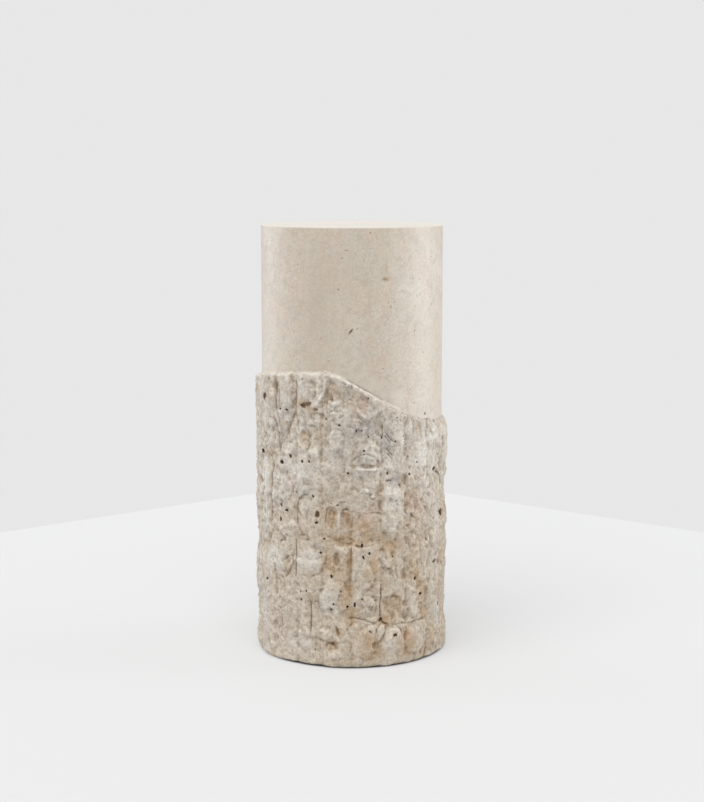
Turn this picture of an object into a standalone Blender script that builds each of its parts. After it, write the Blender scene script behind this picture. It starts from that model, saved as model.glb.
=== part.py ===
"""A round travertine pedestal column, carved from one stone.

A honed drum with a crisp arris stands above a rough-hewn skirt, whose upper edge slopes down to the right.
"""

import math

import bmesh
import bpy
import numpy as np

# Driving sizes of the turned drum, in metres.
HEIGHT = 0.710
HONED_DIAMETER = 0.300
TOP_ARRIS = 0.0012

# Driving sizes of the rough skirt, in metres: how far it stands proud of the honed face, on average and at
# its limits, how far its middle lies off the drum's axis, and the ledge that it makes below the honed face.
SKIRT_PROUD = 0.0080
LEAST_PROUD = 0.0016
MOST_PROUD = 0.0122
SKIRT_SHIFT_X = -0.0020
LEDGE_RISE = 0.0030
LIP_ROUND = 0.0020

# The sawn foot below the skirt, in metres: the skirt's lower edge hangs this far above the ground.
FOOT_HEIGHT = 0.0025
FOOT_INSET = 0.0060
LOWER_ROUND = 0.0030

# The sloping edge of the skirt: its height above the ground at some angles, in degrees from the front (-Y)
# towards +X. A smooth curve that closes round the drum runs through them.
EDGE_STATIONS = (
    (-85, 0.462), (-50, 0.473), (-22, 0.479), (-8, 0.474), (8, 0.451), (30, 0.418),
    (48, 0.400), (75, 0.393), (110, 0.391), (150, 0.407), (190, 0.428), (235, 0.446),
)

# The mason's work: straight kerfs sawn down the skirt at an even spacing, and the stone between them broken
# off. Long stretches of each kerf broke away with the stone, so a share of its depth is kept at each height.
STRIPS = 21
FIRST_KERF_ANGLE = -0.3
KERF_DEPTH = 0.0042
KERF_HALF_WIDTH = 0.0022
KERF_STRETCH = 0.052
KERF_SHARES = (0.06, 1.0)
KERF_DRAWN = (-0.45, 1.1)
KERF_SEED = 23
KERF_BLEND = 0.0065
STRIP_CROWN = 0.0008
BREAK_SPACING = (0.035, 0.090)
BREAK_SLOPE = (0.003, 0.014)
BREAK_LIFT = 0.0022
BREAK_SEED = 11

# Soft swells and lumps of the broken stone that run across the kerfs: how many fit round the drum, their
# height and their lift.
SWELL_ROUND = 11
SWELL_HEIGHT = 0.110
SWELL_LIFT = 0.0012
SWELL_SEED = 5
LUMP_ROUND = 29
LUMP_HEIGHT = 0.034
LUMP_LIFT = 0.0017
LUMP_SEED = 17

# The breaks of the strips on the front and at the two sides of the outline, strip by strip: height and lift,
# in metres. Strip 0 starts at the first kerf and they count towards +X. The other strips are drawn at
# random, from a fixed seed.
SHOWN_STRIPS = {
    -5: (
        (0.010, 0.0006), (0.048, 0.0004), (0.070, -0.0030), (0.098, -0.0026), (0.116, 0.0020),
        (0.160, 0.0016), (0.182, -0.0030), (0.225, 0.0006), (0.284, 0.0010), (0.294, -0.0016),
        (0.305, 0.0016), (0.460, 0.0012),
    ),
    -4: (
        (0.010, -0.0006), (0.060, 0.0008), (0.165, 0.0012), (0.190, -0.0022), (0.230, 0.0014),
        (0.300, 0.0006), (0.335, -0.0020), (0.360, 0.0010), (0.460, 0.0014),
    ),
    -1: (
        (0.010, 0.0010), (0.070, 0.0020), (0.085, -0.0024), (0.120, 0.0004), (0.205, 0.0016),
        (0.215, -0.0024), (0.262, -0.0032), (0.270, -0.0004), (0.300, 0.0012), (0.385, 0.0004),
        (0.440, -0.0030), (0.470, -0.0006),
    ),
    0: (
        (0.010, 0.0016), (0.077, 0.0028), (0.084, -0.0026), (0.120, 0.0004), (0.203, 0.0016),
        (0.208, -0.0030), (0.255, -0.0004), (0.327, 0.0014), (0.331, -0.0030), (0.350, 0.0010),
        (0.400, -0.0016), (0.460, 0.0000),
    ),
    1: (
        (0.010, 0.0018), (0.069, 0.0030), (0.079, -0.0030), (0.110, 0.0006), (0.180, -0.0014),
        (0.215, 0.0004), (0.285, 0.0018), (0.300, -0.0022), (0.330, 0.0006), (0.395, -0.0012),
        (0.430, 0.0010),
    ),
    2: (
        (0.010, 0.0014), (0.068, 0.0024), (0.076, -0.0026), (0.125, 0.0010), (0.200, -0.0012),
        (0.255, 0.0002), (0.330, 0.0008), (0.410, 0.0012),
    ),
    4: (
        (0.010, 0.0012), (0.048, 0.0004), (0.063, -0.0032), (0.082, -0.0004), (0.112, -0.0008),
        (0.150, 0.0010), (0.224, 0.0018), (0.268, 0.0004), (0.284, -0.0034), (0.300, 0.0004),
        (0.345, 0.0024), (0.390, 0.0010),
    ),
}

# Single forms that stand out: the angle in degrees, the height in metres (below the skirt's edge where it is
# negative), the half width and half height in metres, and the lift.
FORMS = (
    (-43.4, -0.040, 0.0200, 0.062, 0.0030),
    (-26.5, -0.030, 0.0210, 0.036, 0.0034),
    (-44.0, -0.115, 0.0190, 0.028, -0.0026),
    (-25.0, -0.092, 0.0200, 0.030, -0.0016),
    (-41.5, 0.160, 0.0130, 0.024, -0.0030),
    (-1.8, 0.150, 0.0080, 0.066, -0.0052),
    (-11.0, 0.035, 0.0150, 0.016, -0.0030),
    (-10.0, 0.243, 0.0120, 0.016, 0.0026),
    (25.6, 0.046, 0.0190, 0.026, 0.0018),
    (60.0, 0.300, 0.0160, 0.026, -0.0026),
    (58.0, 0.372, 0.0170, 0.030, 0.0014),
)

# The mesh: where the columns stand across a strip, as shares of its width from kerf to kerf, and the number
# of rings up the skirt.
COLUMN_SHARES = (0.0, 0.14, 0.38, 0.62, 0.86)
SKIRT_RINGS = 36
SHARP_ANGLE = math.radians(35)

TRAVERTINE = (0.61, 0.54, 0.45, 1.0)
TRAVERTINE_ROUGHNESS = 0.72

COLLECTION = "pedestal_column"
NODE = "pedestal_column"

HONED_RADIUS = HONED_DIAMETER / 2
FOOT_RADIUS = HONED_RADIUS - FOOT_INSET
STRIP_ANGLE = 360 / STRIPS
MEAN_ROUGH_RADIUS = HONED_RADIUS + SKIRT_PROUD


def clear_scene():
    for thing in list(bpy.data.objects):
        bpy.data.objects.remove(thing, do_unlink=True)


def ease(share):
    """A smooth step from 0 to 1."""
    share = np.clip(share, 0, 1)
    return share * share * (3 - 2 * share)


def edge_height(angle):
    """The height of the skirt's sloping edge, from a closed curve through its stations."""
    angles = np.array([station[0] for station in EDGE_STATIONS], float)
    heights = np.array([station[1] for station in EDGE_STATIONS])
    count = len(angles)
    turned = (angle - angles[0]) % 360
    starts = angles - angles[0]
    ends = np.append(starts[1:], 360.0)
    here = np.clip(np.searchsorted(starts, turned, side="right") - 1, 0, count - 1)
    spans = ends - starts
    slopes = np.array([
        (heights[(i + 1) % count] - heights[i - 1]) / (spans[i] + spans[i - 1]) for i in range(count)
    ])
    after = (here + 1) % count
    share = (turned - starts[here]) / spans[here]
    rise = heights[after] - heights[here]
    start_bend = slopes[here] * spans[here] - rise
    end_bend = rise - slopes[after] * spans[here]
    return (
        heights[here] + share * rise
        + share * (1 - share) * ((1 - share) * start_bend + share * end_bend)
    )


def smooth_noise(angle, height, cells_round, cell_height, seed):
    """Soft noise from -1 to 1 that closes round the drum."""
    draw = np.random.default_rng(seed)
    rows = int(HEIGHT / cell_height) + 3
    knots = draw.uniform(-1, 1, (rows, cells_round))
    across = angle / 360 * cells_round
    up = np.clip(height / cell_height, 0, rows - 2)
    column, row = np.floor(across).astype(int), np.floor(up).astype(int)
    share_across, share_up = ease(across - column), ease(up - row)
    left, right = column % cells_round, (column + 1) % cells_round
    low = knots[row, left] * (1 - share_across) + knots[row, right] * share_across
    high = knots[row + 1, left] * (1 - share_across) + knots[row + 1, right] * share_across
    return low * (1 - share_up) + high * share_up


def drawn_breaks(draw):
    """Breaks for a strip that isn't given by hand: flat stretches of stone with a slope between each two."""
    heights, lifts = [], []
    height, lift = 0.0, draw.uniform(-BREAK_LIFT, BREAK_LIFT)
    while height < HEIGHT:
        height += draw.uniform(*BREAK_SPACING)
        slope = draw.uniform(*BREAK_SLOPE)
        heights.append(height)
        lifts.append(lift)
        lift = draw.uniform(-BREAK_LIFT, BREAK_LIFT)
        heights.append(height + slope)
        lifts.append(lift)
    return heights, lifts


def strip_breaks():
    """The heights and lifts of the breaks of every strip."""
    draw = np.random.default_rng(BREAK_SEED)
    breaks = [drawn_breaks(draw) for _ in range(STRIPS)]
    for strip, shown in SHOWN_STRIPS.items():
        breaks[strip % STRIPS] = [height for height, _ in shown], [lift for _, lift in shown]
    return breaks


def kerf_depth(kerf, height, aside):
    """How deep a kerf is at some height and distance from its middle."""
    rows = int(HEIGHT / KERF_STRETCH) + 3
    drawn = np.random.default_rng(KERF_SEED).uniform(*KERF_DRAWN, (rows, STRIPS))
    up = height / KERF_STRETCH
    row = np.floor(up).astype(int)
    share = ease(up - row)
    kept = np.clip(drawn[row, kerf] * (1 - share) + drawn[row + 1, kerf] * share, *KERF_SHARES)
    return KERF_DEPTH * kept * np.exp(-((aside / KERF_HALF_WIDTH) ** 2))


def strip_lift(angle, height):
    """The relief of the strips: each has its own breaks and a slight crown, and a kerf between each two."""
    across = (angle - FIRST_KERF_ANGLE) / STRIP_ANGLE
    strip = np.floor(across).astype(int) % STRIPS
    kerf = np.floor(across + 0.5).astype(int) % STRIPS
    share = across - np.floor(across)
    width = math.radians(STRIP_ANGLE) * MEAN_ROUGH_RADIUS
    nearest = np.where(share < 0.5, share, 1 - share) * width
    neighbour = np.where(share < 0.5, strip - 1, strip + 1) % STRIPS
    own, other = np.zeros_like(height), np.zeros_like(height)
    for index, (heights, lifts) in enumerate(strip_breaks()):
        profile = np.interp(height, heights, lifts)
        own = np.where(strip == index, profile, own)
        other = np.where(neighbour == index, profile, other)
    mixed = own + 0.5 * (1 - ease(nearest / KERF_BLEND)) * (other - own)
    crown = STRIP_CROWN * (1 - (2 * share - 1) ** 2)
    return mixed + crown - kerf_depth(kerf, height, nearest)


def form_lift(angle, height):
    """The relief of the single forms, each a soft-edged oval."""
    total = np.zeros_like(height)
    edge = edge_height(angle)
    for form_angle, form_height, half_width, half_height, lift in FORMS:
        centre = form_height if form_height > 0 else edge + form_height
        turn = (angle - form_angle + 180) % 360 - 180
        aside = np.radians(turn) * MEAN_ROUGH_RADIUS / half_width
        above = (height - centre) / half_height
        total = total + lift * ease(1.5 * (1 - np.hypot(aside, above)))
    return total


def rough_radius(angle, height):
    """The distance of the rough surface from the drum's axis."""
    shift = SKIRT_SHIFT_X * np.sin(np.radians(angle))
    swell = SWELL_LIFT * smooth_noise(angle, height, SWELL_ROUND, SWELL_HEIGHT, SWELL_SEED)
    lumps = LUMP_LIFT * smooth_noise(angle, height, LUMP_ROUND, LUMP_HEIGHT, LUMP_SEED)
    proud = SKIRT_PROUD + shift + strip_lift(angle, height) + form_lift(angle, height) + swell + lumps
    return HONED_RADIUS + np.clip(proud, LEAST_PROUD, MOST_PROUD)


def column_angles():
    """The angles of the mesh's columns, closer together beside each kerf."""
    places = [strip + share for strip in range(STRIPS) for share in COLUMN_SHARES]
    return FIRST_KERF_ANGLE + np.array(places) * STRIP_ANGLE


def ring_table(angles):
    """Radius and height of each ring at each column, from the underside to the top face."""
    level = np.ones_like(angles)
    edge = edge_height(angles)
    lower = FOOT_HEIGHT * level
    rings = [
        (FOOT_RADIUS * level, 0 * level),
        (FOOT_RADIUS * level, lower),
        (rough_radius(angles, lower) - LOWER_ROUND, lower),
    ]
    start, end = FOOT_HEIGHT + LOWER_ROUND, edge - LIP_ROUND
    for ring in range(SKIRT_RINGS):
        height = start + (end - start) * ring / (SKIRT_RINGS - 1)
        rings.append((rough_radius(angles, height), height))
    lip = np.maximum(rough_radius(angles, edge) - LIP_ROUND, HONED_RADIUS + LEAST_PROUD / 2)
    rings.append((lip, edge))
    rings.append((HONED_RADIUS * level, edge + LEDGE_RISE))
    rings.append((HONED_RADIUS * level, (HEIGHT - TOP_ARRIS) * level))
    rings.append(((HONED_RADIUS - TOP_ARRIS) * level, HEIGHT * level))
    return rings


def column_mesh():
    """A capped cylinder with a ring of vertices for each row of the table, moved to the table's places."""
    angles = column_angles()
    rings = ring_table(angles)
    around, up = len(angles), len(rings)
    form = bmesh.new()
    bmesh.ops.create_cone(
        form, cap_ends=True, segments=around, radius1=HONED_RADIUS, radius2=HONED_RADIUS, depth=HEIGHT
    )
    upright = [edge for edge in form.edges if abs(edge.verts[0].co.z - edge.verts[1].co.z) > HEIGHT / 2]
    bmesh.ops.subdivide_edges(form, edges=upright, cuts=up - 2, use_grid_fill=True)
    first = min(form.verts, key=lambda vert: (round(vert.co.z, 6), abs(math.atan2(vert.co.x, -vert.co.y))))
    first_turn = math.atan2(first.co.x, -first.co.y)
    for vert in form.verts:
        turn = math.atan2(vert.co.x, -vert.co.y) - first_turn
        column = round(turn / math.tau * around) % around
        ring = round((vert.co.z / HEIGHT + 0.5) * (up - 1))
        radius, height = rings[ring][0][column], rings[ring][1][column]
        angle = math.radians(angles[column])
        vert.co = (radius * math.sin(angle), -radius * math.cos(angle), height)
    bmesh.ops.recalc_face_normals(form, faces=form.faces)
    mesh = bpy.data.meshes.new(NODE)
    form.to_mesh(mesh)
    form.free()
    mesh.shade_smooth()
    mesh.set_sharp_from_angle(angle=SHARP_ANGLE)
    return mesh


def travertine():
    material = bpy.data.materials.new("travertine")
    material.use_nodes = True
    material.diffuse_color = TRAVERTINE
    shader = material.node_tree.nodes["Principled BSDF"]
    shader.inputs["Base Color"].default_value = TRAVERTINE
    shader.inputs["Roughness"].default_value = TRAVERTINE_ROUGHNESS
    shader.inputs["Metallic"].default_value = 0.0
    return material


def main():
    clear_scene()
    collection = bpy.data.collections.new(COLLECTION)
    bpy.context.scene.collection.children.link(collection)
    column = bpy.data.objects.new(NODE, column_mesh())
    column.data.materials.append(travertine())
    collection.objects.link(column)


main()
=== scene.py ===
import math

import bpy
import numpy as np
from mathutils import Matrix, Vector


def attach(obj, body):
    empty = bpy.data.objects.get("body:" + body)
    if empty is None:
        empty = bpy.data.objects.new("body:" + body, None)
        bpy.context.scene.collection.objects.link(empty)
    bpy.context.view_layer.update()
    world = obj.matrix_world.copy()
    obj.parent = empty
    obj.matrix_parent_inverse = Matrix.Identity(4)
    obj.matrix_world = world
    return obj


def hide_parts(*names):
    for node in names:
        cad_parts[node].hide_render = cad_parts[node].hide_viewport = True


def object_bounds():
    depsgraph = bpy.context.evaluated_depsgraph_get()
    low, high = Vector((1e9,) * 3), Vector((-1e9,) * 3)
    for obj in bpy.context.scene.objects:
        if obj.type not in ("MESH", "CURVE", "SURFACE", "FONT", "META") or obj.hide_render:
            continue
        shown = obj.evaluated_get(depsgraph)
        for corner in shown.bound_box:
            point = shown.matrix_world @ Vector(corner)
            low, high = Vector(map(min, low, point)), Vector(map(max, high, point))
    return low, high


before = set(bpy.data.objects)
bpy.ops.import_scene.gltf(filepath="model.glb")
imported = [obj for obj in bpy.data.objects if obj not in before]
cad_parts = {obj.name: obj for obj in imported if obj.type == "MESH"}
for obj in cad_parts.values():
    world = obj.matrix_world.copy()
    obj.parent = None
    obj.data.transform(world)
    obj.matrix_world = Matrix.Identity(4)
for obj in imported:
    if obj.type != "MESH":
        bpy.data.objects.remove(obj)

cad_box = [list(corner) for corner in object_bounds()]

# The stone's sizes, in metres. They follow the solid's, with a finer lip and foot.
HEIGHT = round(cad_box[1][2], 4)
HONED_RADIUS = 0.150
TOP_ARRIS = 0.0012
SKIRT_PROUD = 0.0080
LEAST_PROUD = 0.0010
MOST_PROUD = 0.0122
SKIRT_SHIFT_X = -0.0020
LEDGE_RISE = 0.0030
LIP_ROUND = 0.0030
RIGHT_LIP_ROUND = 0.0080
SOFT_LIP = (20.0, 100.0, 12.0)
LOWER_LIP = 0.0026
LOWER_LIP_SPAN = (26.0, 68.0, 14.0)
LOWER_LIP_REACH = 0.034
LOWER_LIP_FADE = 0.030
FOOT_HEIGHT = 0.0030
FOOT_RADIUS = 0.144
LOWER_ROUND = 0.0030
FOOT_WOBBLE = 0.0007
EDGE_STATIONS = (
    (-85, 0.462), (-50, 0.473), (-22, 0.479), (-8, 0.474), (8, 0.451), (30, 0.418),
    (48, 0.400), (75, 0.393), (110, 0.391), (150, 0.407), (190, 0.428), (235, 0.446),
)
MEAN_ROUGH_RADIUS = HONED_RADIUS + SKIRT_PROUD

# The mason's kerfs and the breaks between them. Places and seeds are the solid's, and some depths are less.
STRIPS = 21
STRIP_ANGLE = 360 / STRIPS
FIRST_KERF_ANGLE = -0.3
KERF_DEPTH = 0.0042
KERF_STRETCH = 0.052
KERF_SHARES = (0.06, 1.0)
KERF_DRAWN = (-0.45, 1.1)
KERF_SEED = 23
KERF_BLEND = 0.0050
KERF_GAP_HEIGHT = 0.017
KERF_GAP_GAIN = 2.2
KERF_GAP_BASE = 0.35
STRIP_CROWN = 0.0011
BREAK_SPACING = (0.035, 0.090)
BREAK_SLOPE = (0.003, 0.014)
BREAK_LIFT = 0.0022
BREAK_SEED = 11
SHOWN_STRIPS = {
    -5: (
        (0.01, 0.0006), (0.048, 0.0004), (0.07, -0.003), (0.098, -0.0026), (0.116, 0.002), (0.16, 0.0016),
        (0.182, -0.003), (0.225, 0.0006), (0.284, 0.001), (0.294, -0.0016), (0.305, 0.0016), (0.46, 0.0012),
    ),
    -4: (
        (0.01, -0.0006), (0.06, 0.0008), (0.165, 0.0012), (0.19, -0.0022), (0.23, 0.0014), (0.3, 0.0006),
        (0.335, -0.002), (0.36, 0.001), (0.46, 0.0014),
    ),
    -1: (
        (0.01, 0.001), (0.07, 0.002), (0.085, -0.0024), (0.12, 0.0004), (0.205, 0.001), (0.217, -0.0016),
        (0.262, -0.0024), (0.27, -0.0004), (0.3, 0.0012), (0.385, 0.0004), (0.44, -0.003), (0.47, -0.0006),
    ),
    0: (
        (0.01, 0.001), (0.07, 0.0022), (0.086, -0.0016), (0.12, 0.0004), (0.2, 0.001), (0.21, -0.0014),
        (0.255, -0.0004), (0.327, 0.001), (0.331, -0.0012), (0.35, 0.001), (0.4, -0.0016), (0.46, 0),
    ),
    1: (
        (0.01, 0.0012), (0.062, 0.0022), (0.08, -0.002), (0.11, 0.0006), (0.18, -0.0014), (0.215, 0.0004),
        (0.285, 0.0018), (0.3, -0.0022), (0.33, 0.0006), (0.395, -0.0012), (0.43, 0.001),
    ),
    2: (
        (0.01, 0.001), (0.062, 0.002), (0.077, -0.0018), (0.125, 0.001), (0.2, -0.0012), (0.255, 0.0002),
        (0.33, 0.0008), (0.41, 0.0012),
    ),
    4: (
        (0.01, 0.0012), (0.048, 0.0004), (0.063, -0.0032), (0.082, -0.0004), (0.112, -0.0008),
        (0.15, 0.001), (0.224, 0.0018), (0.268, 0.0004), (0.284, -0.0034), (0.3, 0.0004), (0.345, 0.0024),
        (0.39, 0.001),
    ),
}

# Single large forms, nearly as in the solid: angle in degrees, height (below the edge where negative), half
# width, half height and lift.
FORMS = (
    (-43.4, -0.04, 0.02, 0.062, 0.003), (-26.5, -0.03, 0.021, 0.036, 0.0034),
    (-44, -0.115, 0.019, 0.028, -0.0026), (-25, -0.092, 0.02, 0.03, -0.0016),
    (-41.5, 0.16, 0.013, 0.024, -0.003), (-1.6, 0.16, 0.006, 0.06, -0.002),
    (-11, 0.035, 0.015, 0.016, -0.003), (-7.9, 0.243, 0.0048, 0.022, 0.0026),
    (25.6, 0.046, 0.019, 0.026, 0.0018), (60, 0.3, 0.016, 0.026, -0.0026), (58, 0.372, 0.017, 0.03, 0.0014),
)

# The raster that the rough relief is worked out on: columns round the drum and rows up it.
COLUMNS = 1386
ROW = 0.0008
TOP_ROW = 0.500
ROWS = int(TOP_ROW / ROW) + 1
COLUMN_STEP = 360 / COLUMNS
COLUMN_WIDTH = math.radians(COLUMN_STEP) * MEAN_ROUGH_RADIUS
angles = np.arange(COLUMNS) * COLUMN_STEP - 180.0
heights = np.arange(ROWS) * ROW
ANGLE, RISE = np.meshgrid(angles, heights)


# More than any distance that is looked for, in metres or in cells.
FAR = 9.0


def ease(share):
    """A smooth step from 0 to 1."""
    share = np.clip(share, 0, 1)
    return share * share * (3 - 2 * share)


def edge_height(angle):
    """The height of the skirt's sloping edge, from a closed curve through its stations."""
    stations = np.array([station[0] for station in EDGE_STATIONS], float)
    levels = np.array([station[1] for station in EDGE_STATIONS])
    count = len(stations)
    turned = (angle - stations[0]) % 360
    starts = stations - stations[0]
    spans = np.append(starts[1:], 360.0) - starts
    here = np.clip(np.searchsorted(starts, turned, side="right") - 1, 0, count - 1)
    after = (here + 1) % count
    slopes = (np.roll(levels, -1) - np.roll(levels, 1)) / (spans + np.roll(spans, 1))
    share = (turned - starts[here]) / spans[here]
    rise = levels[after] - levels[here]
    start_bend = slopes[here] * spans[here] - rise
    end_bend = rise - slopes[after] * spans[here]
    return levels[here] + share * rise + share * (1 - share) * ((1 - share) * start_bend + share * end_bend)


def smooth_noise(angle, height, cells_round, cell_height, seed):
    """Soft noise from -1 to 1 that closes round the drum."""
    draw = np.random.default_rng(seed)
    rows = int(HEIGHT / cell_height) + 3
    knots = draw.uniform(-1, 1, (rows, cells_round))
    across = angle / 360 * cells_round
    up = np.clip(height / cell_height, 0, rows - 2)
    column, row = np.floor(across).astype(int), np.floor(up).astype(int)
    share_across, share_up = ease(across - column), ease(up - row)
    left, right = column % cells_round, (column + 1) % cells_round
    low = knots[row, left] * (1 - share_across) + knots[row, right] * share_across
    high = knots[row + 1, left] * (1 - share_across) + knots[row + 1, right] * share_across
    return low * (1 - share_up) + high * share_up


def drawn_breaks(draw):
    """Breaks for a strip that isn't given by hand: flat stretches of stone with a slope between each two."""
    tops, lifts = [], []
    height, lift = 0.0, draw.uniform(-BREAK_LIFT, BREAK_LIFT)
    while height < HEIGHT:
        height += draw.uniform(*BREAK_SPACING)
        slope = draw.uniform(*BREAK_SLOPE)
        tops.append(height)
        lifts.append(lift)
        lift = draw.uniform(-BREAK_LIFT, BREAK_LIFT)
        tops.append(height + slope)
        lifts.append(lift)
    return tops, lifts


def strip_breaks():
    """The heights and lifts of the breaks of every strip."""
    draw = np.random.default_rng(BREAK_SEED)
    breaks = [drawn_breaks(draw) for _ in range(STRIPS)]
    for strip, shown in SHOWN_STRIPS.items():
        breaks[strip % STRIPS] = [height for height, _ in shown], [lift for _, lift in shown]
    return breaks


# How sharply a kerf shows in the dressed stone: a fine slot in a shallow furrow, half widths in metres.
SLOT_HALF_WIDTH = 0.0010
SLOT_SHARE = 0.16
FURROW_HALF_WIDTH = 0.0040
FURROW_SHARE = 0.28


def strip_lift(angle, height):
    """The relief of the strips: each has its own breaks and a slight crown, and a kerf between each two."""
    across = (angle - FIRST_KERF_ANGLE) / STRIP_ANGLE
    strip = np.floor(across).astype(int) % STRIPS
    kerf = np.floor(across + 0.5).astype(int) % STRIPS
    share = across - np.floor(across)
    width = math.radians(STRIP_ANGLE) * MEAN_ROUGH_RADIUS
    nearest = np.where(share < 0.5, share, 1 - share) * width
    neighbour = np.where(share < 0.5, strip - 1, strip + 1) % STRIPS
    own, other = np.zeros_like(height), np.zeros_like(height)
    for index, (tops, lifts) in enumerate(strip_breaks()):
        profile = np.interp(height, tops, lifts)
        own = np.where(strip == index, profile, own)
        other = np.where(neighbour == index, profile, other)
    mixed = own + 0.5 * (1 - ease(nearest / KERF_BLEND)) * (other - own)
    crown = STRIP_CROWN * (1 - (2 * share - 1) ** 2)
    rows = int(HEIGHT / KERF_STRETCH) + 3
    drawn = np.random.default_rng(KERF_SEED).uniform(*KERF_DRAWN, (rows, STRIPS))
    up = height / KERF_STRETCH
    row = np.floor(up).astype(int)
    blend = ease(up - row)
    kept = np.clip(drawn[row, kerf] * (1 - blend) + drawn[row + 1, kerf] * blend, *KERF_SHARES)
    gaps = smooth_noise(angle, height, 2 * STRIPS, KERF_GAP_HEIGHT, KERF_SEED)
    broken = ease(KERF_GAP_GAIN * gaps + KERF_GAP_BASE)
    slot = SLOT_SHARE * broken * np.maximum(0, 1 - nearest / SLOT_HALF_WIDTH)
    furrow = FURROW_SHARE * np.exp(-((nearest / FURROW_HALF_WIDTH) ** 2))
    return mixed + crown - KERF_DEPTH * kept * (slot + furrow)


def form_lift(angle, height):
    """The relief of the single large forms, each a soft-edged oval."""
    total = np.zeros_like(height)
    edge = edge_height(angle)
    for form_angle, form_height, half_width, half_height, lift in FORMS:
        centre = form_height if form_height > 0 else edge + form_height
        turn = (angle - form_angle + 180) % 360 - 180
        aside = np.radians(turn) * MEAN_ROUGH_RADIUS / half_width
        above = (height - centre) / half_height
        total = total + lift * ease(1.5 * (1 - np.hypot(aside, above)))
    return total


def noise(width, height, seed, angle=None, rise=None):
    """Soft noise with cells of about this width and height in metres."""
    angle = ANGLE if angle is None else angle
    rise = RISE if rise is None else rise
    round_cells = max(3, round(math.tau * MEAN_ROUGH_RADIUS / width))
    return smooth_noise(angle, np.maximum(rise, 0), round_cells, height, seed)


def layered(base, layers):
    """A base with layers of noise on it, each given as strength, cell width, cell height and seed."""
    for strength, *cells in layers:
        base = base + strength * noise(*cells)
    return base


def scoops(width, height, seed, spread, angle, rise):
    """Shallow scoops that meet in sharp ridges, from 0 at their floors upwards, in cells of this size."""
    draw = np.random.default_rng(seed)
    around = round(math.tau * MEAN_ROUGH_RADIUS / width)
    up = int(HEIGHT / height) + 4
    aside, above = draw.uniform(0.1, 0.9, (2, up, around))
    floor = draw.uniform(0, spread, (up, around))
    bend = draw.uniform(0.7, 1.6, (up, around))
    lean = draw.uniform(-0.6, 0.6, (up, around))
    x, y = angle / 360 * around, np.maximum(rise, 0) / height + 1
    column, row = np.floor(x).astype(int), np.floor(y).astype(int)
    lowest = np.full_like(x, FAR)
    for down in (-1, 0, 1):
        for left in (-1, 0, 1):
            c, r = (column + left) % around, np.clip(row + down, 0, up - 1)
            dx = x - column - left - aside[r, c]
            dy = y - row - down - above[r, c]
            dx = dx + lean[r, c] * dy
            lowest = np.minimum(lowest, floor[r, c] + bend[r, c] * (dx * dx + dy * dy))
    return lowest


def between(angle, start, end, soft):
    """1 between two angles, fading out over some degrees beyond them."""
    return ease((angle - start + soft) / soft) * ease((end + soft - angle) / soft)


# How far shapes are bent from their drawn outlines, in metres, and the share of it that lines are bent.
BEND = 0.0030
STROKE_BEND = 0.35
BEND_ASIDE = BEND * noise(0.015, 0.017, 121)
BEND_UP = BEND * noise(0.014, 0.016, 122)


def window(angle, height, reach):
    """The raster's rows and columns within reach of a place, and their distances from it, in metres."""
    middle = (angle + 180) / COLUMN_STEP
    span = int(reach / COLUMN_WIDTH) + 2
    columns = np.arange(round(middle) - span, round(middle) + span + 1)
    low, high = max(0, int((height - reach) / ROW)), min(ROWS, int((height + reach) / ROW) + 2)
    aside = (columns - middle) * COLUMN_WIDTH
    above = heights[low:high] - height
    return np.ix_(np.arange(low, high), columns % COLUMNS), aside[None, :], above[:, None]


def turned(aside, above, tilt):
    """Distances along and across an axis that leans by tilt degrees from upright towards +X."""
    lean = math.radians(tilt)
    return aside * math.cos(lean) - above * math.sin(lean), aside * math.sin(lean) + above * math.cos(lean)


def chip(field, angle, height, half_width, half_height, depth, tilt=0.0, lop=0.0):
    """Carves a shallow shell-shaped scoop with a sharp rim, deeper towards its top where lop is above 0."""
    place, aside, above = window(angle, height, 1.3 * max(half_width, half_height))
    across, along = turned(aside, above, tilt)
    x, y = across / half_width, along / half_height
    level = field[place]
    inside = np.hypot(x, y) < 0.5
    if not inside.any():
        return
    floor = level[inside].mean() - depth
    shell = floor + depth * (1.35 * (x * x + y * y) - lop * y)
    field[place] = np.minimum(level, np.where(x * x + y * y < 1.5, shell, level))


def lump(field, creases, angle, height, half_width, half_height, lift, tilt=0.0):
    """Raises a slightly bent cobble in a broken crease, or sinks a dish where lift is below 0."""
    reach = 1.4 * max(half_width, half_height) + 0.004
    place, aside, above = window(angle, height, reach)
    across, along = turned(aside + BEND_ASIDE[place], above + BEND_UP[place], tilt)
    out = np.hypot(across / half_width, along / half_height)
    turn = np.arctan2(along, across)
    crease = np.exp(-(((out - 1.0) * min(half_width, half_height) / CREASE_HALF_WIDTH) ** 2))
    crease = crease * ease(0.65 - 0.75 * np.sin(turn + 900 * half_width + 3 * angle))
    if lift > 0:
        field[place] += lift * ease((1.04 - out) / 0.50) - CREASE_DEPTH * crease
    else:
        field[place] += lift * ease((1.10 - out) / 0.40)
    # Painted shade along the crease, kept on the crack mask.
    creases[place] = np.maximum(creases[place], CREASE_PAINTED_SHADE * crease)


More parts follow.
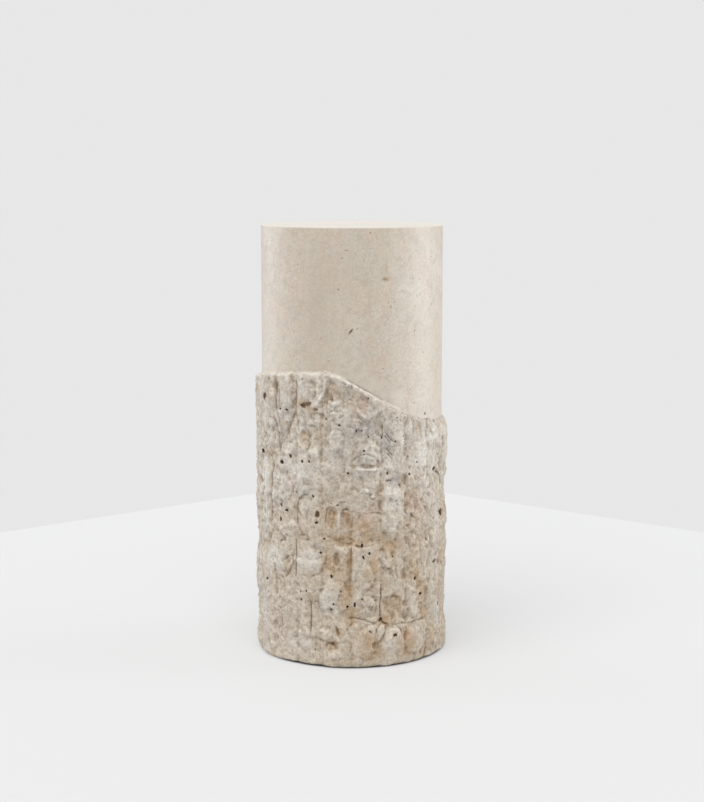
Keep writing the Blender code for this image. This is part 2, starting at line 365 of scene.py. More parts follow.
def stroke(field, points, half_width, lift, marks=None, strength=1.0):
    """Raises or cuts a line through points of angle and height, fading out at both ends."""
    points = np.array(points, float)
    middle = (points.min(axis=0) + points.max(axis=0)) / 2
    reach = np.hypot(np.radians(points[:, 0] - middle[0]) * MEAN_ROUGH_RADIUS, points[:, 1] - middle[1]).max()
    place, aside, above = window(middle[0], middle[1], reach + 4 * half_width)
    x = np.radians(points[:, 0] - middle[0]) * MEAN_ROUGH_RADIUS
    y = points[:, 1] - middle[1]
    nearest = np.full(np.broadcast(aside, above).shape, FAR)
    along = np.zeros_like(nearest)
    aside = aside + STROKE_BEND * BEND_ASIDE[place]
    above = above + STROKE_BEND * BEND_UP[place]
    for step in range(len(x) - 1):
        dx, dy = x[step + 1] - x[step], y[step + 1] - y[step]
        share = np.clip(((aside - x[step]) * dx + (above - y[step]) * dy) / (dx * dx + dy * dy), 0, 1)
        distance = np.hypot(aside - x[step] - share * dx, above - y[step] - share * dy)
        along = np.where(distance < nearest, (step + share) / (len(x) - 1), along)
        nearest = np.minimum(nearest, distance)
    fade = ease(5 * along) * ease(5 * (1 - along)) * 0.75 + 0.25
    shape = fade * np.exp(-((nearest / half_width) ** 2))
    field[place] += lift * shape
    if marks is not None:
        marks[place] = np.maximum(marks[place], strength * shape)


# Pores at least this deep, in metres, get full painted shade at the bottom.
PORE_SHADE_DEPTH = 0.0040


def pore(field, marks, angle, height, half_width, half_height, depth, tilt=0.0, seed=0):
    """Sinks a steep, slightly ragged hole, and marks it for painted shade that grows with its depth."""
    place, aside, above = window(angle, height, 2.2 * max(half_width, half_height))
    across, along = turned(aside, above, tilt)
    turn = np.arctan2(along, across)
    ragged = 1 + 0.16 * np.sin(2 * turn + seed) + 0.10 * np.sin(3 * turn + 1.7 * seed)
    out = np.hypot(across / half_width, along / half_height) / ragged
    field[place] -= depth * ease(1.25 * (1.12 - out) / 0.62)
    marks[place] = np.maximum(marks[place], min(1.0, depth / PORE_SHADE_DEPTH) * ease((1.22 - out) / 0.35))


# How firm the edge of a tint is: 2 is soft, and higher is firmer.
TINT_FIRMNESS = 3.0


def tint(marks, angle, height, half_width, half_height, strength, tilt=0.0):
    """Paints a soft oval on a mask."""
    place, aside, above = window(angle, height, 1.6 * max(half_width, half_height))
    across, along = turned(aside, above, tilt)
    marks[place] += strength * np.exp(-(np.hypot(across / half_width, along / half_height) ** TINT_FIRMNESS))


def blurred(field, radius):
    """The field's running mean over a square of about this radius in metres, run three times."""
    for _ in range(3):
        for axis, step in ((1, COLUMN_WIDTH), (0, ROW)):
            size = max(1, round(radius * 0.7 / step))
            mode = "wrap" if axis == 1 else "edge"
            pads = [(0, 0), (0, 0)]
            pads[axis] = (size + 1, size)
            total = np.cumsum(np.pad(field, pads, mode=mode), axis=axis)
            wide = 2 * size + 1
            if axis == 1:
                field = (total[:, wide:] - total[:, :-wide]) / wide
            else:
                field = (total[wide:] - total[:-wide]) / wide
    return field


# Lines on the shown side: points of angle and height, half width and lift in metres.
STROKES = (
    (((-50.8, 0.474), (-50.6, 0.447), (-50.4, 0.427), (-49.2, 0.413), (-47.5, 0.399),
        (-46.5, 0.39)), 0.0032, -0.0024),
    (((-33.7, 0.478), (-33.6, 0.452), (-34, 0.431), (-35.5, 0.415), (-38, 0.4), (-41.2, 0.383),
        (-42.5, 0.37)), 0.003, -0.0022),
    (((-46.9, 0.462), (-46.9, 0.416)), 0.0011, -0.0012),
    (((-38.8, 0.474), (-39.2, 0.448), (-40.9, 0.419)), 0.0011, -0.0012),
    (((-52.4, 0.402), (-50, 0.392), (-48.5, 0.378), (-48, 0.35)), 0.0017, -0.0018),
    (((-33.9, 0.408), (-33, 0.396), (-32.2, 0.383)), 0.0015, -0.0018),
    (((-15.9, 0.472), (-16, 0.454), (-17.2, 0.444), (-19.9, 0.433), (-23.4, 0.426),
        (-27.8, 0.419)), 0.0021, 0.0046),
    (((-14.6, 0.466), (-14.5, 0.433), (-14.9, 0.396), (-15.6, 0.364)), 0.0022, -0.0012),
    (((-13.8, 0.404), (-12.9, 0.418), (-10.2, 0.423), (-7.2, 0.418), (-6.4, 0.406)), 0.0013, -0.0012),
    (((2.9, 0.424), (5, 0.415), (8.4, 0.408)), 0.0024, 0.0026),
    (((9.4, 0.409), (13, 0.416), (17.5, 0.425)), 0.0026, 0.0018),
    (((2, 0.42), (4, 0.41), (7.6, 0.401)), 0.0013, -0.0011),
    (((-3.2, 0.398), (1.1, 0.393), (4.7, 0.389)), 0.0012, -0.0012),
    (((7.6, 0.397), (11.5, 0.402), (14.9, 0.401), (17.9, 0.392), (21, 0.383),
        (25, 0.371)), 0.0018, -0.0009),
    (((19, 0.386), (24.5, 0.368)), 0.0008, -0.0022), (((19.5, 0.379), (23, 0.366)), 0.0008, -0.002),
    (((20.5, 0.36), (25, 0.345)), 0.0008, -0.0022), (((21, 0.352), (24.5, 0.341)), 0.0008, -0.002),
    (((17.9, 0.402), (17.6, 0.376)), 0.001, -0.0018),
    (((0, 0.338), (2.5, 0.347), (5, 0.351), (7.6, 0.352), (10, 0.351), (12.4, 0.347),
        (16.5, 0.335)), 0.0012, -0.0015),
    (((0.5, 0.333), (7.6, 0.332), (16.4, 0.333)), 0.0012, -0.0006),
    (((2.6, 0.3275), (9.8, 0.3262), (16.2, 0.327)), 0.0014, 0.0034),
    (((-16.9, 0.317), (-13.2, 0.308), (-8.7, 0.318), (-4.4, 0.324)), 0.0012, -0.0013),
    (((-26, 0.281), (-32.4, 0.275), (-34.2, 0.256), (-33.8, 0.234), (-31.5, 0.224),
        (-28.6, 0.214)), 0.0018, -0.0016),
    (((-23.2, 0.279), (-24.8, 0.269), (-26, 0.257), (-27.7, 0.245)), 0.0013, -0.0016),
    (((-55.1, 0.33), (-55.2, 0.285), (-56.1, 0.253), (-58, 0.205)), 0.003, -0.0034),
    (((-60.5, 0.322), (-61, 0.28), (-62, 0.23)), 0.0032, 0.0028),
    (((61.8, 0.312), (65.6, 0.303), (69, 0.294), (71.1, 0.286)), 0.0014, -0.0034),
    (((20.2, 0.306), (22, 0.308), (23.8, 0.307)), 0.001, -0.0022),
    (((39.5, 0.3), (42.5, 0.306), (46, 0.309)), 0.0008, -0.0012),
    (((32.2, 0.256), (35.5, 0.247)), 0.0009, -0.0022),
    (((36.9, 0.252), (38.3, 0.244), (40.3, 0.239)), 0.001, -0.0024),
    (((3.3, 0.24), (4.4, 0.25), (7.5, 0.255), (11.3, 0.257), (15.8, 0.255), (22.8, 0.25)), 0.0011, -0.0014),
    (((1.7, 0.204), (3.6, 0.201), (5.9, 0.2)), 0.0016, -0.003),
    (((5.9, 0.2), (9.2, 0.202), (12.8, 0.205)), 0.001, -0.0012),
    (((-18, 0.221), (-12, 0.214), (-5, 0.207), (1.7, 0.204)), 0.0016, -0.0014),
    (((-34.6, 0.212), (-34.6, 0.176), (-35, 0.144)), 0.0009, -0.0022),
    (((-25.1, 0.114), (-25, 0.08), (-25.1, 0.049)), 0.0009, -0.0026),
    (((-45.4, 0.078), (-45.5, 0.036)), 0.001, -0.0014),
    (((17.4, 0.143), (17.2, 0.12), (17, 0.078)), 0.0011, -0.0025),
    (((-0.4, 0.204), (-0.7, 0.19), (-0.4, 0.168)), 0.0011, -0.002),
    (((-24.5, 0.285), (-29.5, 0.282), (-33, 0.272), (-34.4, 0.256)), 0.001, -0.0016),
    (((-31.5, 0.291), (-26.5, 0.2935), (-21, 0.299)), 0.0016, 0.003),
    (((33.9, 0.132), (32.9, 0.099), (32.5, 0.073)), 0.0013, -0.0012),
    (((-2.2, 0.084), (1.7, 0.083), (7.6, 0.08), (12.7, 0.074), (17, 0.079), (20.1, 0.071),
        (23, 0.07)), 0.0012, -0.002),
    (((22.4, 0.071), (30, 0.07), (38.3, 0.066)), 0.0012, -0.0014),
    (((37, 0.066), (42.1, 0.07), (51, 0.07)), 0.0014, -0.002),
    (((-3.6, 0.062), (-1.5, 0.071), (0.9, 0.076), (4.8, 0.075)), 0.0012, -0.001),
    (((6.2, 0.064), (9.3, 0.072), (13.6, 0.073), (17.7, 0.066), (18.6, 0.052)), 0.0012, -0.0012),
    (((18.4, 0.061), (20.5, 0.067), (23.4, 0.068)), 0.0011, -0.0018),
    (((27.1, 0.069), (29.6, 0.063), (31, 0.046)), 0.0012, -0.0016),
    (((20.5, 0.052), (22, 0.041), (25.5, 0.038), (29, 0.043)), 0.0011, -0.0012),
    (((24.1, 0.19), (26, 0.174), (26.9, 0.155), (28.9, 0.143)), 0.0013, -0.0014),
    (((9, 0.142), (10.9, 0.147), (14.6, 0.146)), 0.0008, -0.0014),
    (((18.8, 0.115), (25.1, 0.117), (31.5, 0.111)), 0.001, -0.0014),
    (((5, 0.118), (7, 0.11), (9.7, 0.098)), 0.0009, -0.0013),
    (((-9.9, 0.072), (-8.6, 0.065), (-7.2, 0.051)), 0.002, -0.0036),
    (((-15.8, 0.034), (-13.8, 0.041), (-11.6, 0.041), (-9, 0.035)), 0.0022, -0.0034),
    (((-48.9, 0.108), (-40.3, 0.1), (-47, 0.087), (-53.3, 0.093), (-48.9, 0.108)), 0.0009, -0.001),
    (((-46.4, 0.165), (-41.5, 0.176), (-37.8, 0.18), (-36.8, 0.171), (-39.6, 0.153),
        (-44.9, 0.139)), 0.0013, -0.0018),
    (((-18.5, 0.4), (-18, 0.36), (-18.4, 0.33)), 0.0013, -0.001),
    (((-15.4, 0.231), (-15.8, 0.248), (-14.9, 0.262), (-11.8, 0.265), (-9, 0.26)), 0.0011, -0.0018),
    (((-8.7, 0.258), (-8.6, 0.246), (-9.2, 0.232)), 0.0009, -0.001),
    (((-6.3, 0.232), (-6.5, 0.249), (-5.4, 0.26), (-2.6, 0.262), (0, 0.257)), 0.0011, -0.0018),
    (((0.4, 0.254), (0.6, 0.242), (-0.1, 0.231)), 0.0009, -0.001),
    (((17, 0.081), (18.6, 0.074), (22, 0.07)), 0.0019, -0.0036),
    (((-51, 0.474), (-50.8, 0.445), (-50.4, 0.42)), 0.0011, -0.0016),
    (((17.3, 0.376), (17.2, 0.352), (18, 0.326)), 0.0009, -0.0012),
)

# The broken crease round a cobble or dish: half width and depth in metres, and the strength of the painted
# shade in it.
CREASE_HALF_WIDTH = 0.0010
CREASE_DEPTH = 0.0006
CREASE_PAINTED_SHADE = 0.18

# Cobbles and dishes of the shown side: angle, height, half width, half height and lift in metres, and tilt in
# degrees where they lean. Every lift is multiplied by LUMP_GAIN.
LUMP_GAIN = 1.45
LUMPS = (
    (-42, 0.444, 0.014, 0.034, 0.0014), (-61, 0.42, 0.014, 0.034, 0.001),
    (-9.3, 0.374, 0.0145, 0.018, 0.002), (-9.3, 0.434, 0.013, 0.005, 0.0012),
    (-9.3, 0.416, 0.014, 0.005, 0.0011), (-9.7, 0.329, 0.017, 0.0185, 0.0015),
    (-22.3, 0.35, 0.0095, 0.013, 0.0018), (-41.8, 0.354, 0.016, 0.0125, 0.0017),
    (-43.1, 0.29, 0.016, 0.025, 0.0014), (-27.8, 0.262, 0.012, 0.02, 0.0015, 10),
    (-27, 0.303, 0.013, 0.007, -0.0018), (-24.3, 0.176, 0.024, 0.027, 0.0019, 18),
    (-13.1, 0.121, 0.016, 0.031, 0.0019, 18), (8.1, 0.15, 0.015, 0.026, 0.0016, 6),
    (9.7, 0.104, 0.014, 0.017, 0.0015, -20), (24, 0.291, 0.0155, 0.02, 0.0015),
    (23.3, 0.18, 0.015, 0.025, 0.0011), (41, 0.187, 0.013, 0.029, 0.001), (39, 0.097, 0.011, 0.021, 0.0014),
    (8.1, 0.042, 0.0195, 0.031, 0.0034, 15), (25.3, 0.051, 0.0165, 0.0175, 0.0036),
    (40.5, 0.038, 0.02, 0.026, 0.0028), (-15.7, 0.056, 0.0145, 0.013, 0.003),
    (-28.1, 0.046, 0.019, 0.02, 0.0012), (-9.9, 0.023, 0.013, 0.0115, 0.0016),
    (-51.4, 0.077, 0.025, 0.025, 0.001), (17, 0.058, 0.0075, 0.016, 0.0026, 20),
    (36, 0.385, 0.01, 0.022, 0.001), (57, 0.375, 0.015, 0.028, 0.0012),
    (-12.1, 0.246, 0.0085, 0.016, -0.0016), (-2.9, 0.245, 0.008, 0.0155, -0.0016),
    (12.8, 0.283, 0.005, 0.004, 0.0024), (8.7, 0.292, 0.0048, 0.0034, 0.0022),
    (-40, 0.16, 0.006, 0.013, 0.0014, 20), (55, 0.262, 0.014, 0.023, 0.0014),
    (58, 0.19, 0.015, 0.026, 0.0012), (56, 0.112, 0.014, 0.023, 0.0012), (-60, 0.3, 0.012, 0.03, 0.0012),
    (-58, 0.226, 0.011, 0.026, 0.0012), (-62, 0.15, 0.012, 0.024, 0.0012),
    (-38, 0.225, 0.015, 0.015, 0.0011), (-27, 0.372, 0.0085, 0.02, -0.0013),
    (-9.8, 0.18, 0.0065, 0.015, -0.002), (6.1, 0.434, 0.012, 0.01, -0.001),
    (-23, 0.452, 0.009, 0.019, -0.003), (-12.5, 0.452, 0.006, 0.02, -0.001),
    (-21, 0.412, 0.012, 0.008, -0.002), (-4.9, 0.209, 0.019, 0.0085, -0.002),
    (32.7, 0.16, 0.0115, 0.019, -0.0011), (25.2, 0.101, 0.0165, 0.0185, -0.0017),
    (44.8, 0.15, 0.01, 0.025, -0.0013), (-28.8, 0.211, 0.013, 0.0065, -0.0013),
)

# Pores of the shown side: angle, height, half width, half height and depth in metres, and tilt in degrees
# where they lean.
PORES = (
    (-61.3, 0.435, 0.0046, 0.0054, 0.0038, 5), (-67, 0.341, 0.0056, 0.0036, 0.005),
    (-45.7, 0.331, 0.0034, 0.0034, 0.008), (-38.8, 0.343, 0.0028, 0.0022, 0.0055, 40),
    (-29.7, 0.337, 0.0022, 0.002, 0.0045), (-25.2, 0.338, 0.0018, 0.0018, 0.005),
    (-28.6, 0.428, 0.005, 0.0042, 0.0032, 20), (-25.4, 0.431, 0.0046, 0.0038, 0.003),
    (-21, 0.422, 0.0034, 0.0026, 0.0018), (-7.4, 0.398, 0.0016, 0.0016, 0.005),
    (2.5, 0.389, 0.0015, 0.0013, 0.0045), (5.6, 0.389, 0.0018, 0.001, 0.003, 70),
    (9.5, 0.379, 0.0014, 0.0012, 0.0035), (-2.3, 0.321, 0.0016, 0.0016, 0.004, 30),
    (7, 0.357, 0.0017, 0.0016, 0.0045, 40), (21.3, 0.319, 0.0024, 0.0013, 0.0035, 70),
    (29.1, 0.298, 0.0017, 0.0015, 0.004), (36, 0.314, 0.0019, 0.0017, 0.0045),
    (59, 0.314, 0.007, 0.0032, 0.0042), (51.4, 0.4035, 0.0018, 0.0016, 0.004),
    (-46.5, 0.26, 0.0026, 0.0019, 0.005, 60), (-41.8, 0.253, 0.0026, 0.0019, 0.005),
    (-22.7, 0.282, 0.002, 0.0018, 0.005), (-47.3, 0.236, 0.0026, 0.003, 0.006),
    (-20.2, 0.253, 0.004, 0.0048, 0.0031), (-20.9, 0.239, 0.0026, 0.0018, 0.004),
    (68.5, 0.238, 0.0052, 0.0062, 0.0036), (-16.4, 0.213, 0.0016, 0.0016, 0.004),
    (5.9, 0.203, 0.003, 0.0017, 0.005, 70), (10.2, 0.19, 0.002, 0.002, 0.0055),
    (6.6, 0.184, 0.0016, 0.0026, 0.004, -30), (51.2, 0.201, 0.0018, 0.0018, 0.0045),
    (60.5, 0.159, 0.0042, 0.003, 0.0022), (40.7, 0.14, 0.003, 0.0028, 0.005),
    (45.2, 0.113, 0.0026, 0.0024, 0.007), (66.3, 0.083, 0.0046, 0.003, 0.0055),
    (1.6, 0.106, 0.0016, 0.0034, 0.0055), (-2.7, 0.103, 0.002, 0.0018, 0.006),
    (17.5, 0.079, 0.0024, 0.0032, 0.0045), (25.6, 0.053, 0.003, 0.0028, 0.007),
    (-31.1, 0.109, 0.0018, 0.0018, 0.0055), (-27.5, 0.125, 0.0012, 0.0022, 0.004, 15),
    (-10.8, 0.107, 0.0019, 0.0014, 0.0045), (-12.5, 0.097, 0.002, 0.0014, 0.0045, 60),
    (-18.5, 0.19, 0.0022, 0.0016, 0.004, 50), (10.5, 0.062, 0.002, 0.0013, 0.0035, 60),
    (-46.1, 0.418, 0.0018, 0.0017, 0.0042), (-40.9, 0.418, 0.0018, 0.0017, 0.0042),
    (17.6, 0.377, 0.0014, 0.0014, 0.0034), (25.8, 0.37, 0.0014, 0.0014, 0.0036),
    (33.5, 0.363, 0.0014, 0.0014, 0.0036), (54.6, 0.399, 0.0024, 0.002, 0.006),
    (42, 0.332, 0.0014, 0.0012, 0.0034), (-8.4, 0.269, 0.002, 0.0014, 0.0026),
    (5.9, 0.115, 0.002, 0.0016, 0.002), (13.5, 0.112, 0.0014, 0.0014, 0.0026),
    (-6.5, 0.128, 0.0012, 0.0012, 0.0034), (-58.4, 0.109, 0.0026, 0.0026, 0.0014),
    (-60, 0.131, 0.0022, 0.0024, 0.0035), (-12, 0.152, 0.0026, 0.0016, 0.0045, 60),
)

# Cobbles, chips and pores strewn over the whole skirt from fixed seeds: how many, and the ranges of their
# sizes, heights, shapes and tilts. Large cobbles lie beyond LARGE_FROM degrees only, and the pores between
# the two angles of SMALL_PORES are small.
STREWN_LUMPS = 210
STREWN_LUMP_SEED = 53
LUMP_SIZE = (0.005, 0.015)
LUMP_HEIGHTS = (0.005, 0.470)
LUMP_RANGES = ((1.0, 2.0), (0.0010, 0.0026), (-30, 30))
SMALL_LUMP = 0.009
LARGE_FROM = 66
LARGE_SIZE = 1.4
DISH_SHARE = 0.3
DISH_LIFT = -0.7
LARGE_LIFT = 0.8
SMALL_LIFT = 0.6
STREWN_CHIPS = 900
STREWN_CHIP_SEED = 7
CHIP_SIZE = (0.0030, 0.0085)
CHIP_SHARE = (0.6, 1.0)
CHIP_RANGES = ((0.8, 1.9), (0.12, 0.26), (-40, 40), (-0.7, 0.9))
STREWN_PORES = 200
STREWN_PORE_SEED = 41
PORE_SIZE = (0.0007, 0.0024, 4.0)
PORE_RANGES = ((0.7, 1.5), (1.4, 2.2), (-60, 60))
SMALL_PORES = (-75, 78)
SMALL_PORE = 0.0013
SPECK_HEIGHTS = (0.004, 0.480)


# The outline of the two flanks: at each angle, heights and how far the stone stands out there, in metres.
FLANK_DEGREES = 13.0
FLANK_FADE = 12.0
DETAIL_RADIUS = 0.0070
FLANKS = (
    (-86.5, (
        (0.005, 0.0075), (0.019, 0.0108), (0.047, 0.0068), (0.092, 0.0074), (0.117, 0.0117),
        (0.136, 0.0112), (0.158, 0.0098), (0.179, 0.005), (0.213, 0.008), (0.24, 0.0098), (0.284, 0.009),
        (0.291, 0.006), (0.299, 0.0092), (0.367, 0.0094), (0.418, 0.0102), (0.47, 0.0098),
    )),
    (86.5, (
        (0.005, 0.0084), (0.022, 0.0088), (0.047, 0.0068), (0.061, 0.0034), (0.082, 0.0056),
        (0.117, 0.0055), (0.144, 0.0078), (0.152, 0.006), (0.179, 0.009), (0.2, 0.0062), (0.22, 0.0092),
        (0.248, 0.0056), (0.282, 0.0022), (0.302, 0.0078), (0.309, 0.0052), (0.333, 0.0092),
        (0.364, 0.0092), (0.378, 0.0074), (0.388, 0.004), (0.418, 0.0034),
    )),
)


def shaped_flanks(field, rise):
    """The relief with the large shapes of the two flanks replaced, where the outline is seen."""
    detail = field - blurred(field, DETAIL_RADIUS)
    for middle, outline in FLANKS:
        stands = np.interp(rise, [height for height, _ in outline], [proud for _, proud in outline])
        share = between(ANGLE, middle - FLANK_DEGREES, middle + FLANK_DEGREES, FLANK_FADE)
        field = field + share * (stands + detail - field)
    return field


# Lines of the hidden sides, drawn for each kerf beyond these degrees: how many of each kind, and their
# ranges. A kerf line has a low end, a length, a lean in degrees, a half width and a depth. A break line has a
# start and a width in degrees, a level, a bow, a fall, a half width and a depth.
HIDDEN_FROM = 78.0
HIDDEN_LINES = 2
HIDDEN_LINE_SEED = 77
KERF_LINE = ((0.02, 0.32), (0.035, 0.095), (-0.7, 0.7), (0.0010, 0.0013), (0.0014, 0.0026))
BREAK_LINE = (
    (0, 4), (7, 13), (0.05, 0.36), (-0.008, 0.008), (-0.006, 0.006), (0.001, 0.0015), (0.001, 0.002),
)


def drawn_from(ranges, draw):
    """One number from each range."""
    return [draw.uniform(*span) for span in ranges]


def hidden_lines():
    """Lines for the hidden sides: upright along the kerfs and level along the breaks."""
    draw = np.random.default_rng(HIDDEN_LINE_SEED)
    lines = []
    for kerf in range(STRIPS):
        middle = (FIRST_KERF_ANGLE + kerf * STRIP_ANGLE + 180) % 360 - 180
        if abs(middle) < HIDDEN_FROM:
            continue
        for _ in range(HIDDEN_LINES):
            low, tall, lean, half_width, depth = drawn_from(KERF_LINE, draw)
            points = (middle, low), (middle + 0.2 * lean, low + 0.5 * tall), (middle + lean, low + tall)
            lines.append((points, half_width, -depth))
        for _ in range(HIDDEN_LINES):
            after, wide, level, bow, fall, half_width, depth = drawn_from(BREAK_LINE, draw)
            start = middle + after
            points = (start, level), (start + 0.5 * wide, level + bow), (start + wide, level + fall)
            lines.append((points, half_width, -depth))
    return lines


# Layers of noise: strength, cell width and cell height in metres, and seed.
WANDER = ((1.3, 0.030, 0.030, 101), (0.5, 0.009, 0.009, 102))
WANDER_DEGREES = 0.24
RISE_WANDER = ((0.0042, 0.021, 0.030, 103), (0.0016, 0.008, 0.009, 104))
BUSY = ((0.5, 0.060, 0.070, 105),)
BUSY_FINE = ((0.5, 0.034, 0.045, 106),)
BENT_ANGLE = ((1.6, 0.016, 0.016, 107),)
BENT_RISE = ((0.0045, 0.016, 0.016, 108),)
FLANK_WANDER = ((0.0020, 0.012, 0.012, 109),)
GRAIN = ((0.00055, 0.0036, 0.0036, 113), (0.00034, 0.0022, 0.0022, 114))
# Fine ridges: cell width, cell height and seed, and how far they lift the stone from a middle level.
RIDGE_CELLS = (0.0060, 0.0075, 112)
RIDGE_LIFT, RIDGE_MIDDLE = 0.0011, 0.6

# Layers of scoops: depth, middle level, the share everywhere, what busy stone adds, cell width, cell height,
# seed and spread of the floors.
SCOOPS = (
    (0.0024, 0.55, 0.4, 0.6, 0.0200, 0.0280, 109, 0.5),
    (0.0018, 0.50, 0.3, 0.8, 0.0095, 0.0125, 110, 0.5),
    (-0.0026, 0.50, 1.0, -0.7, 0.0125, 0.0160, 111, 0.4),
)

# The broad unevenness that the solid has too: depth, cells round the drum, cell height and seed. The whole
# skirt is set in by a small trim.
SWELLS = ((0.0012, 11, 0.110, 5), (0.0023, 29, 0.034, 17))
PROUD_TRIM = 0.0002

# How strong the fine relief is in the middle, what the sides add, and from where and over how many degrees.
MIDDLE_STRENGTH, SIDE_STRENGTH = 0.90, 0.45
SIDE_FROM, SIDE_SPAN = 15, 30

# Calmer stone: the share taken off, its two angles, the height where it begins, and over what height it does.
CALM_AREAS = ((0.45, 34, 72, 0.31, 0.04), (0.35, -58, -26, 0.15, -0.04))
CALM_FADE = 12

# How strong the painted shade in cracks and the painted light on ridges are: the most, and the depth, half
# width and lift with full strength.
CRACK_MOST = 0.85
CRACK_FULL_DEPTH = 0.0040
CRACK_FULL_WIDTH = 0.0011
CREST_FULL_LIFT = 0.0046


def strewn_lumps():
    """Cobbles and dishes: large ones on the hidden sides, and only small ones on the shown side."""
    draw = np.random.default_rng(STREWN_LUMP_SEED)
    for _ in range(STREWN_LUMPS):
        size = draw.uniform(*LUMP_SIZE)
        place = draw.uniform(-180, 180), draw.uniform(*LUMP_HEIGHTS)
        tall, lift, tilt = drawn_from(LUMP_RANGES, draw)
        if abs(place[0]) > LARGE_FROM:
            dish = draw.uniform() > 1 - DISH_SHARE
            large = LARGE_SIZE * size
            yield (*place, large, large * tall, (DISH_LIFT if dish else LARGE_LIFT) * lift, tilt)
        elif size < SMALL_LUMP:
            yield (*place, size, size * tall, SMALL_LIFT * lift, tilt)


def strewn_chips():
    draw = np.random.default_rng(STREWN_CHIP_SEED)
    for _ in range(STREWN_CHIPS):
        size = draw.uniform(*CHIP_SIZE) * draw.uniform(*CHIP_SHARE)
        place = draw.uniform(-180, 180), draw.uniform(*SPECK_HEIGHTS)
        tall, deep, tilt, lop = drawn_from(CHIP_RANGES, draw)
        yield (*place, size, size * tall, size * deep, tilt, lop)


def strewn_pores():
    draw = np.random.default_rng(STREWN_PORE_SEED)
    least, more, rarity = PORE_SIZE
    for number in range(STREWN_PORES):
        size = least + more * draw.uniform() ** rarity
        place = draw.uniform(-180, 180), draw.uniform(*SPECK_HEIGHTS)
        if SMALL_PORES[0] < place[0] < SMALL_PORES[1]:
            size = min(size, SMALL_PORE)
        tall, deep, tilt = drawn_from(PORE_RANGES, draw)
        yield (*place, size, size * tall, size * deep, tilt, number)


def relief():
    """How far each point of the raster stands out, and masks for painted shade in cracks and pores and for
    painted light on crests.
    """
    angle = ANGLE + WANDER_DEGREES * layered(0, WANDER)
    rise = layered(RISE, RISE_WANDER)
    field = SKIRT_PROUD - PROUD_TRIM + SKIRT_SHIFT_X * np.sin(np.radians(ANGLE))
    field += strip_lift(angle, np.maximum(rise, 0)) + form_lift(ANGLE, RISE)
    for depth, *cells in SWELLS:
        field += depth * smooth_noise(ANGLE, RISE, *cells)
    crack, crest, hole = np.zeros_like(field), np.zeros_like(field), np.zeros_like(field)
    for row in strewn_lumps():
        lump(field, crack, *row)
    for place, height, half_width, half_height, lift, *tilt in LUMPS:
        lump(field, crack, place, height, half_width, half_height, LUMP_GAIN * lift, *tilt)

    fine = MIDDLE_STRENGTH + SIDE_STRENGTH * ease((np.abs(ANGLE) - SIDE_FROM) / SIDE_SPAN)
    for share, start, end, level, span in CALM_AREAS:
        fine = fine * (1 - share * between(ANGLE, start, end, CALM_FADE) * ease((RISE - level) / span))
    busy, busy_fine = layered(0.5, BUSY), layered(0.5, BUSY_FINE)
    bent = layered(ANGLE, BENT_ANGLE), layered(RISE, BENT_RISE)
    for (depth, middle, even, varied, *cells), where in zip(SCOOPS, (busy, busy_fine, busy)):
        field += fine * depth * (scoops(*cells, *bent) - middle) * (even + varied * where)
    for row in strewn_chips():
        chip(field, *row)
    field = shaped_flanks(field, layered(RISE, FLANK_WANDER))
    below_edge = ease((RISE - edge_height(ANGLE) + LOWER_LIP_REACH) / LOWER_LIP_FADE)
    lip = between(ANGLE, *LOWER_LIP_SPAN) * below_edge
    field -= LOWER_LIP * lip
    # Cut lines mark painted shade on the crack mask by their depth and narrowness, and raised lines mark
    # painted light on the crest mask.
    for points, half_width, lift in (*STROKES, *hidden_lines()):
        if lift < 0:
            shade = min(CRACK_MOST, -lift / CRACK_FULL_DEPTH) * min(1.0, CRACK_FULL_WIDTH / half_width)
            stroke(field, points, half_width, lift, crack, shade)
        else:
            stroke(field, points, half_width, lift, crest, lift / CREST_FULL_LIFT)
    ridged = 1 - np.abs(noise(*RIDGE_CELLS, *bent))
    field += layered(fine * RIDGE_LIFT * (ridged - RIDGE_MIDDLE), GRAIN)
    for number, row in enumerate(PORES):
        pore(field, hole, *row, seed=number)
    for row in strewn_pores():
        pore(field, hole, *row)
    return field, crack, crest, hole


def kept_within(proud, low, high, soft):
    """Limits that the relief nears softly, so that it has no flat cut ends."""
    proud = low + soft * np.logaddexp(0, (proud - low) / soft)
    return high - soft * np.logaddexp(0, (high - proud) / soft)
